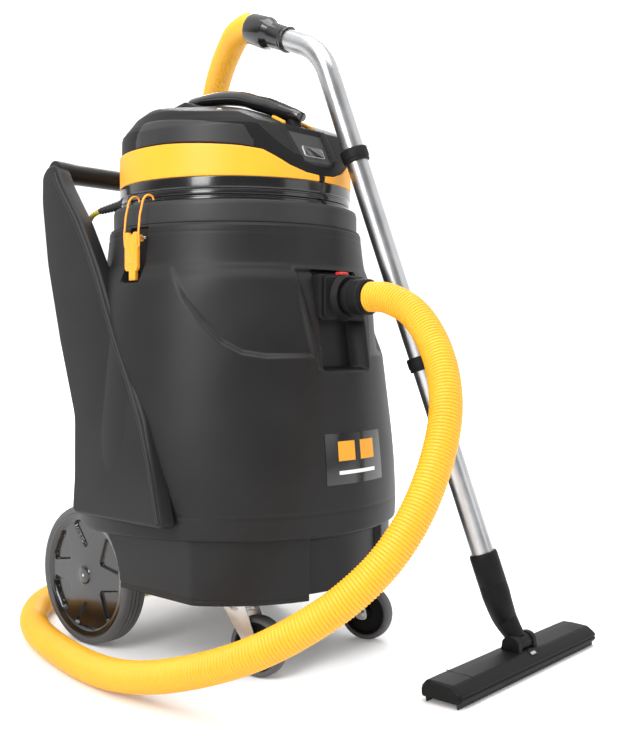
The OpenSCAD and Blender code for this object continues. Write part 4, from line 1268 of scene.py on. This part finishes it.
def make_switches():
    """Two oval rockers in black bracket housings."""
    c, s = math.cos(ROCKER_TILT), math.sin(ROCKER_TILT)
    frame3 = np.array([[1.0, 0, 0], [0, c, -s], [0, s, c]])
    angles = np.linspace(0, 2 * np.pi, 44, endpoint=False)
    power = 0.8
    oval = [(ROCKER_HALF * np.sign(np.cos(a)) * abs(np.cos(a)) ** power,
             16.6 * np.sign(np.sin(a)) * abs(np.sin(a)) ** power) for a in angles]
    mark = [(0.36 * x, 0.36 * y + 5.5) for x, y in oval]
    outer = box_line(-8.2, -19.6, 8.2, 19.6, 3.4)
    inner = box_line(-6.1, -17.5, 6.1, 17.5, 2.6)
    for side, name in SIDES:
        origin = np.array([side * ROCKER_X, ROCKER_AT[0], ROCKER_AT[1]])
        body = "switch_" + name
        plate("rocker_cap_" + name, oval, 9.6, "yellow_plastic", body, frame3, origin + 0.3 * frame3[:, 2],
              bevel=2.2, steps=4, node="rocker_" + name)
        plate("rocker_mark_" + name, mark, 0.5, "yellow_plastic", body, frame3, origin + 9.6 * frame3[:, 2],
              bevel=0.2, node="rocker_" + name)
        lathe("rocker_pin_" + name, [(0.2, -7.9), (1.3, -7.9), (1.5, -7.7), (1.5, 7.7), (1.3, 7.9),
                                     (0.2, 7.9)],
              "yellow_plastic", body, origin, (1, 0, 0), sides=20, node="rocker_" + name)
        hoop("switch_bezel_" + name, outer, inner, 14.0, "black_plastic", "root", frame3,
             origin - 8.0 * frame3[:, 2], node="switch_housings")
        plate("switch_well_" + name, outer, 30.0, "black_plastic", "root", frame3,
              origin - 38.6 * frame3[:, 2], bevel=1.0, node="switch_housings")


def make_head_screws():
    """Pan-head screws with a recess, seated on the cover."""
    for k, turn_deg in enumerate((35, 145, 215, 325)):
        x, y = 150 * math.cos(turn_deg * DEGREE), 150 * math.sin(turn_deg * DEGREE)
        z = float(dome_height(np.array([x]), np.array([y]))[0])
        lathe("head_screw_%d" % (k + 1), [(0.3, z - 20), (2.4, z - 20), (2.4, z - 0.6), (4.6, z - 0.6),
                                          (4.6, z + 0.4), (3.6, z + 1.6), (1.4, z + 1.9), (0.8, z + 1.1),
                                          (0.3, z + 1.1)], "zinc_steel", "root", (x, y, 0), (0, 0, 1),
              sides=28, node="head_screws")


make_wheels()
make_casters()
make_latches()
make_inlet()
make_switches()
make_head_screws()


# ---------------------------------------------------------------- chassis
CHASSIS_R = 281.0
CHASSIS_FLAT = 240.0
FRONT_HALF = 92.0
FRONT_STEP = 10.0
FRONT_RISE = 8.0
UNDER_LEDGE = LEDGE_Z - 8.0


def chassis_radius(front, z):
    """The chassis wall's outer radius: flats at the sides and a set-back middle at the front."""
    angle = turned(front)
    flat = CHASSIS_FLAT / np.maximum(np.abs(np.cos(angle)), 1e-6)
    radius = soft_min(np.full(front.shape, CHASSIS_R), flat, 3.0)
    across = CHASSIS_R * np.sin(front * DEGREE)
    middle = inside(across, z, [(-FRONT_HALF, 100), (FRONT_HALF, 100), (FRONT_HALF, 226), (-FRONT_HALF, 226)],
                    5.0)
    ahead = np.abs(front) < 60
    groove = np.exp(-((z - (CHASSIS_Z + 9)) / 1.3) ** 2) * 0.8 * (1 - middle * ahead)
    return radius - FRONT_STEP * middle * ahead - groove


def make_chassis():
    """The moulded foot of the machine: a skirt with side flats and wheel arches, and the blocks inside it."""
    columns = 720
    heights = np.linspace(CHASSIS_Z + 3, LEDGE_Z - 1, 64)
    front, z = wall_grid(heights, columns)
    radius = chassis_radius(front, z)
    angle = turned(front)
    rows = []

    def arched(r, height):
        """Points of one ring, pulled in where a wheel arch passes."""
        x, y = r * np.cos(angle[0]), r * np.sin(angle[0])
        reach = ARCH_R - np.hypot(y - WHEEL_Y, height - WHEEL_R)
        limit = ARCH_X - 8.0
        hit = smooth_step(reach, 0, 3) * (np.abs(x) > limit)
        shrink = 1 - hit * (1 - limit / np.maximum(np.abs(x), limit))
        return np.stack([x * shrink, y * shrink, height + 0 * x], axis=-1)

    low = chassis_radius(front, z)[0]
    rise = FRONT_RISE * inside(CHASSIS_R * np.sin(front[0] * DEGREE), 0 * front[0],
                               [(-FRONT_HALF, -1), (FRONT_HALF, -1), (FRONT_HALF, 1), (-FRONT_HALF, 1)], 0.5)
    for back, up in ((9.0, 14.0), (8.4, 0.8), (7.6, 0.0), (3.0, 0.0), (1.2, 0.5), (0.3, 1.6)):
        rows.append(arched(low - back, np.full(columns, CHASSIS_Z + up) + rise * (np.abs(front[0]) < 60)))
    for i, height in enumerate(heights):
        lifted = np.maximum(np.full(columns, height), CHASSIS_Z + 2.4 + rise * (np.abs(front[0]) < 60))
        rows.append(arched(radius[i], lifted))
    top = radius[-1]
    for back, up in ((0.7, 0.2), (2.0, 0.9), (30.0, 0.9), (262.0, 0.9)):
        rows.append(arched(np.maximum(top - back, 2.0), np.full(columns, LEDGE_Z - 1.0 + up)))
    for r, height in ((2.0, UNDER_LEDGE), (200.0, UNDER_LEDGE)):
        rows.append(arched(np.full(columns, r), np.full(columns, height)))
    rows.append(arched(low - 10.0, np.full(columns, UNDER_LEDGE)))
    verts = np.concatenate(rows)
    build("chassis_skirt", verts, ring_faces(len(rows), columns), "charcoal_plastic", crease=40,
          node="wheel_chassis")
    # name, reach outward, reach along y, corner radius, height, foot and bevel
    blocks = [("caster_pad_", (116.0, 165.0), (-209, -101), 6, 95.6, CHASSIS_Z + 0.2, 2.0),
              ("axle_block_", (141.0, 165.0), (141, 199), 8, 128.0, 95.4, 2.0),
              ("wheel_wall_", (157.2, 164.8), (31, 224), 1.5, 95.0, CHASSIS_Z + 0.4, 0.8),
              ("wheel_wall_front_", (157.2, 239.6), (26.4, 32.6), 1.5, 95.0, CHASSIS_Z + 0.4, 0.8)]
    for side, name in SIDES:
        for tag, reach, (y0, y1), corner, height, foot, bevel in blocks:
            x0, x1 = sorted(side * x for x in reach)
            plate(tag + name, box_line(x0, y0, x1, y1, corner), height, "charcoal_plastic", "root", np.eye(3),
                  (0, 0, foot), bevel=bevel, node="wheel_chassis")


# ---------------------------------------------------------------- wand
TUBE_R = 19.0
WAND_UP = unit(WAND_CORNER - NECK)
WAND_CUT = (380.0, 755.0)
BEND_R = 90.0


def wand_line():
    """The wand's middle line from the second joint, round the bend and along the stub."""
    turn_angle = math.acos(float(np.clip(np.dot(WAND_UP, STUB), -1, 1)))
    back = BEND_R * math.tan(turn_angle / 2)
    side = unit(STUB - np.dot(STUB, WAND_UP) * WAND_UP)
    centre = WAND_CORNER - back * WAND_UP + BEND_R * side
    start = NECK + (WAND_CUT[1] + 0.3) * WAND_UP
    first = [start + t * WAND_UP for t in (0.0, 1.0, 4.0, 30.0, 120.0)]
    arc = [centre - BEND_R * math.cos(a) * side + BEND_R * math.sin(a) * WAND_UP
           for a in np.linspace(0, turn_angle, 25)]
    return np.array(first + arc + [WAND_CORNER + (CUFF_START + 40.0) * STUB])


def tube_piece(name, node, start, end):
    """One straight steel tube, with a turned-in lip and a locating bead near each end."""
    length = end - start
    profile = [(17.6, 0.2), (18.6, 0.2), (TUBE_R, 0.8)]
    for bead in (9.0, length - 9.0):
        profile += [(TUBE_R, bead - 2.2), (TUBE_R + 0.03, bead - 1.2), (TUBE_R + 0.04, bead),
                    (TUBE_R + 0.03, bead + 1.2), (TUBE_R, bead + 2.2)]
    profile += [(TUBE_R, length - 0.8), (18.6, length - 0.2), (17.6, length - 0.2)]
    lathe(name, profile, "tube_steel", "wand", NECK + start * WAND_UP, WAND_UP, sides=96, node=node)


def make_wand():
    tube_piece("wand_tube_lower", "wand_lower_tube", 0.0, WAND_CUT[0])
    tube_piece("wand_tube_middle", "wand_middle_tube", WAND_CUT[0] + 0.2, WAND_CUT[1])
    sweep("wand_tube_bent", wand_line(), TUBE_R, "tube_steel", "wand", sides=96, crease=50,
          node="wand_top_tube")
    for k, cut in enumerate(WAND_CUT):
        collar = [(19.1, -11), (21.8, -11), (22.8, -10), (22.8, -5), (24, -3.6), (24, 10.4), (23.4, 12.2),
                  (22.2, 13), (19.1, 13)]
        lathe("wand_collar_%d" % (k + 1), collar, "black_plastic", "wand", NECK + cut * WAND_UP, WAND_UP,
              sides=96, node="wand_collars")
        frame3 = basis(WAND_UP, (1, 0, 0))
        frame3 = as_columns(frame3[:, 1], frame3[:, 2], frame3[:, 0])
        plate("wand_collar_lug_%d" % (k + 1), box_line(-6, -9, 6, 9, 3.5), 9.0, "black_plastic", "wand",
              frame3, NECK + cut * WAND_UP + 20.6 * frame3[:, 2], bevel=2.4, steps=4, node="wand_collars")
        lathe("wand_collar_button_%d" % (k + 1), [(0.3, 28.4), (4.2, 28.4), (4.2, 29.6), (3.4, 30.1),
                                                  (0.3, 30.2)], "zinc_steel", "wand",
              NECK + (cut + 1) * WAND_UP, frame3[:, 2], sides=32, node="wand_collars")
    cuff = [(19.1, 0), (22.4, 0), (23, 0.8), (23, 4.2), (22.4, 5.2), (21.2, 5.8), (21.2, 8), (22.2, 9),
            (22.8, 38)]
    cuff += [(23.4, 40.6), (28.2, 51), (29, 54), (29, 94), (28.2, 98), (26.6, 100), (25.4, 100), (17.4, 96),
             (17.4, 41), (19.1, 41)]
    lathe("wand_cuff_moulded", cuff, "gloss_black", "wand", WAND_CORNER + CUFF_START * STUB, STUB, sides=96,
          node="wand_cuff")


# ---------------------------------------------------------------- floor tool
TOOL_AT = np.array([182.0, -488.0, 44.0])
TOOL_LEFT, TOOL_RIGHT = -50.0, 390.0
TOOL_FRONT, TOOL_BACK = -526.0, -450.0


def make_neck():
    """The swivel neck: a sleeve on the wand, an elbow and a stub down to the tool's pivot."""
    sleeve = [(19.1, -6), (23, -8), (24, -6.6), (24, 40), (23.4, 44.6), (22, 46), (19.1, 46)]
    lathe("tool_neck_sleeve", sleeve, "black_plastic", "wand", NECK, WAND_UP, sides=96, node="tool_neck")
    knee = np.array([TOOL_AT[0], TOOL_AT[1] + 26.0, 78.0])
    line = smooth_curve([NECK + 2 * WAND_UP, NECK - 20 * WAND_UP, NECK - 42 * WAND_UP, knee + (-1.5, 2, 5),
                         knee + (0, -9, -12), TOOL_AT + (0, 4, 6)], 8)
    spread = np.linspace(0, 1, len(line))
    radii = np.interp(spread, [0, 0.25, 0.5, 0.75, 1], [23.6, 24, 22, 19, 15.2])
    sweep("tool_neck_elbow", line, radii, "black_plastic", "wand", sides=64, crease=60, node="tool_neck")
    sweep("tool_neck_seam", line[10:-10], radii[10:-10] + 0.5, "black_plastic",
          "wand", sides=64, flat=0.2, side=(1, 0, 0), crease=60, node="tool_neck")
    lathe("tool_neck_barrel", bent_steps([(6.1, -17), (14.6, -17), (14.6, 17), (6.1, 17)], 1.6),
          "black_plastic", "wand", TOOL_AT, (1, 0, 0), sides=64, node="tool_neck")


def make_tool():
    """A wide floor head: sloped top with serrated ends, a hump under the pivot, a groove along its front."""
    sections = 181
    xs = np.linspace(TOOL_LEFT, TOOL_RIGHT, sections)
    profile = [(-524.5, 11.5), (-526, 13.0), (-526, 16.6), (-524.4, 17.4), (-524.4, 18.6), (-526, 19.4),
               (-525.2, 23.5), (-520, 27.6), (-512, 33.2), (-508, 34.8), (-480, 35.0), (-462, 34.4),
               (-457, 31.4), (-451.6, 24.4), (-450, 19.5), (-450, 12.0), (-452, 9.2), (-458, 9.0),
               (-518, 9.0), (-523, 9.2)]
    line = rounded(profile, 1.0, 2, closed=True)
    mid_y = (TOOL_FRONT + TOOL_BACK) / 2
    verts = []
    for x in xs:
        ends = min(x - TOOL_LEFT, TOOL_RIGHT - x)
        pinch = 1 - 0.1 * (1 - smooth_step(ends, 0, 5)) - 0.03 * (1 - smooth_step(ends, 0, 26))
        hump = math.exp(-((x - TOOL_AT[0]) / 46.0) ** 4)
        notch = 0.8 * (ends < 60) * (0.5 + 0.5 * math.cos(2 * math.pi * ends / 5.2)) * (ends > 4)
        for y, z in line:
            top = smooth_step(z, 20, 29)
            edge = math.exp(-((y + 509) / 4.0) ** 2) + math.exp(-((y + 458) / 4.0) ** 2)
            verts.append((x, mid_y + (y - mid_y) * pinch,
                          z + top * (3.0 * hump * math.exp(-((y + 488) / 20.0) ** 2) - notch * edge)
                          - 3.0 * (1 - smooth_step(ends, 0, 6)) * top))
    count = len(line)
    faces = grid_faces(sections, count)
    faces += [tuple(range(count)), tuple((sections - 1) * count + k for k in range(count))]
    build("tool_shell", verts, faces, "black_plastic", "floor_tool", crease=30, node="tool_body")
    facing_side = as_columns((0, 1, 0), (0, 0, 1), (1, 0, 0))
    ear = rounded([(-16.5, 0), (-15.5, 8), (-9, 15), (0, 17), (9, 15), (15.5, 8), (16.5, 0),
                   (19, -16), (-19, -16)], 3, 4, closed=True)
    for tag, x in (("left", -30.0), ("right", 18.4)):
        plate("tool_ear_" + tag, ear, 11.4, "black_plastic", "floor_tool", facing_side, TOOL_AT + (x, 0, 0),
              bevel=2.2, steps=4, node="tool_body")
    lathe("tool_hinge_pin", bent_steps([(0.3, -31), (5.4, -31), (5.9, -30.4), (5.9, 30.4), (5.4, 31),
                                        (0.3, 31)]),
          "black_plastic", "floor_tool", TOOL_AT, (1, 0, 0), sides=40, node="tool_body")
    badge_frame = as_columns((1, 0, 0), unit((0, 0.78, 0.62)), unit((0, -0.62, 0.78)))
    crest_at = np.array([TOOL_AT[0], -511.5, 29.4])
    plate("tool_crest", rounded([(-15, -8), (15, -8), (11, 6), (0, 11), (-11, 6)], 4, closed=True),
          4.5, "black_plastic", "floor_tool", badge_frame, crest_at, bevel=1.8, node="tool_body")
    plate("tool_crest_plate", box_line(-7, -2.6, 7, 2.6, 1.6), 0.7, "badge_grey", "floor_tool", badge_frame,
          crest_at + 4.3 * badge_frame[:, 2], bevel=0.25, node="tool_body")
    plate("tool_split_line", box_line(TOOL_LEFT + 58, -508, TOOL_LEFT + 60.4, -459, 1.0), 0.8,
          "black_rubber", "floor_tool", np.eye(3), (0, 0, 34.5), bevel=0.3, node="tool_body")
    for tag, y in (("front", -519.8), ("rear", -463.8)):
        teeth = 88
        blade = []
        for k in range(teeth + 1):
            x = TOOL_LEFT + 4.4 + (TOOL_RIGHT - TOOL_LEFT - 8.8) * k / teeth
            foot = 0.5 if k % 2 == 0 else 1.3
            blade += [(x, y + 0.2, 17), (x, y + 5.4, 17), (x, y + 4.2, foot), (x, y + 1.4, foot)]
        faces = grid_faces(teeth + 1, 4)
        faces += [(0, 1, 2, 3), tuple(teeth * 4 + k for k in (3, 2, 1, 0))]
        build("tool_blade_" + tag, blade, faces, "black_rubber", "floor_tool", crease=25, node="tool_strips")


make_chassis()
make_wand()
make_neck()
make_tool()
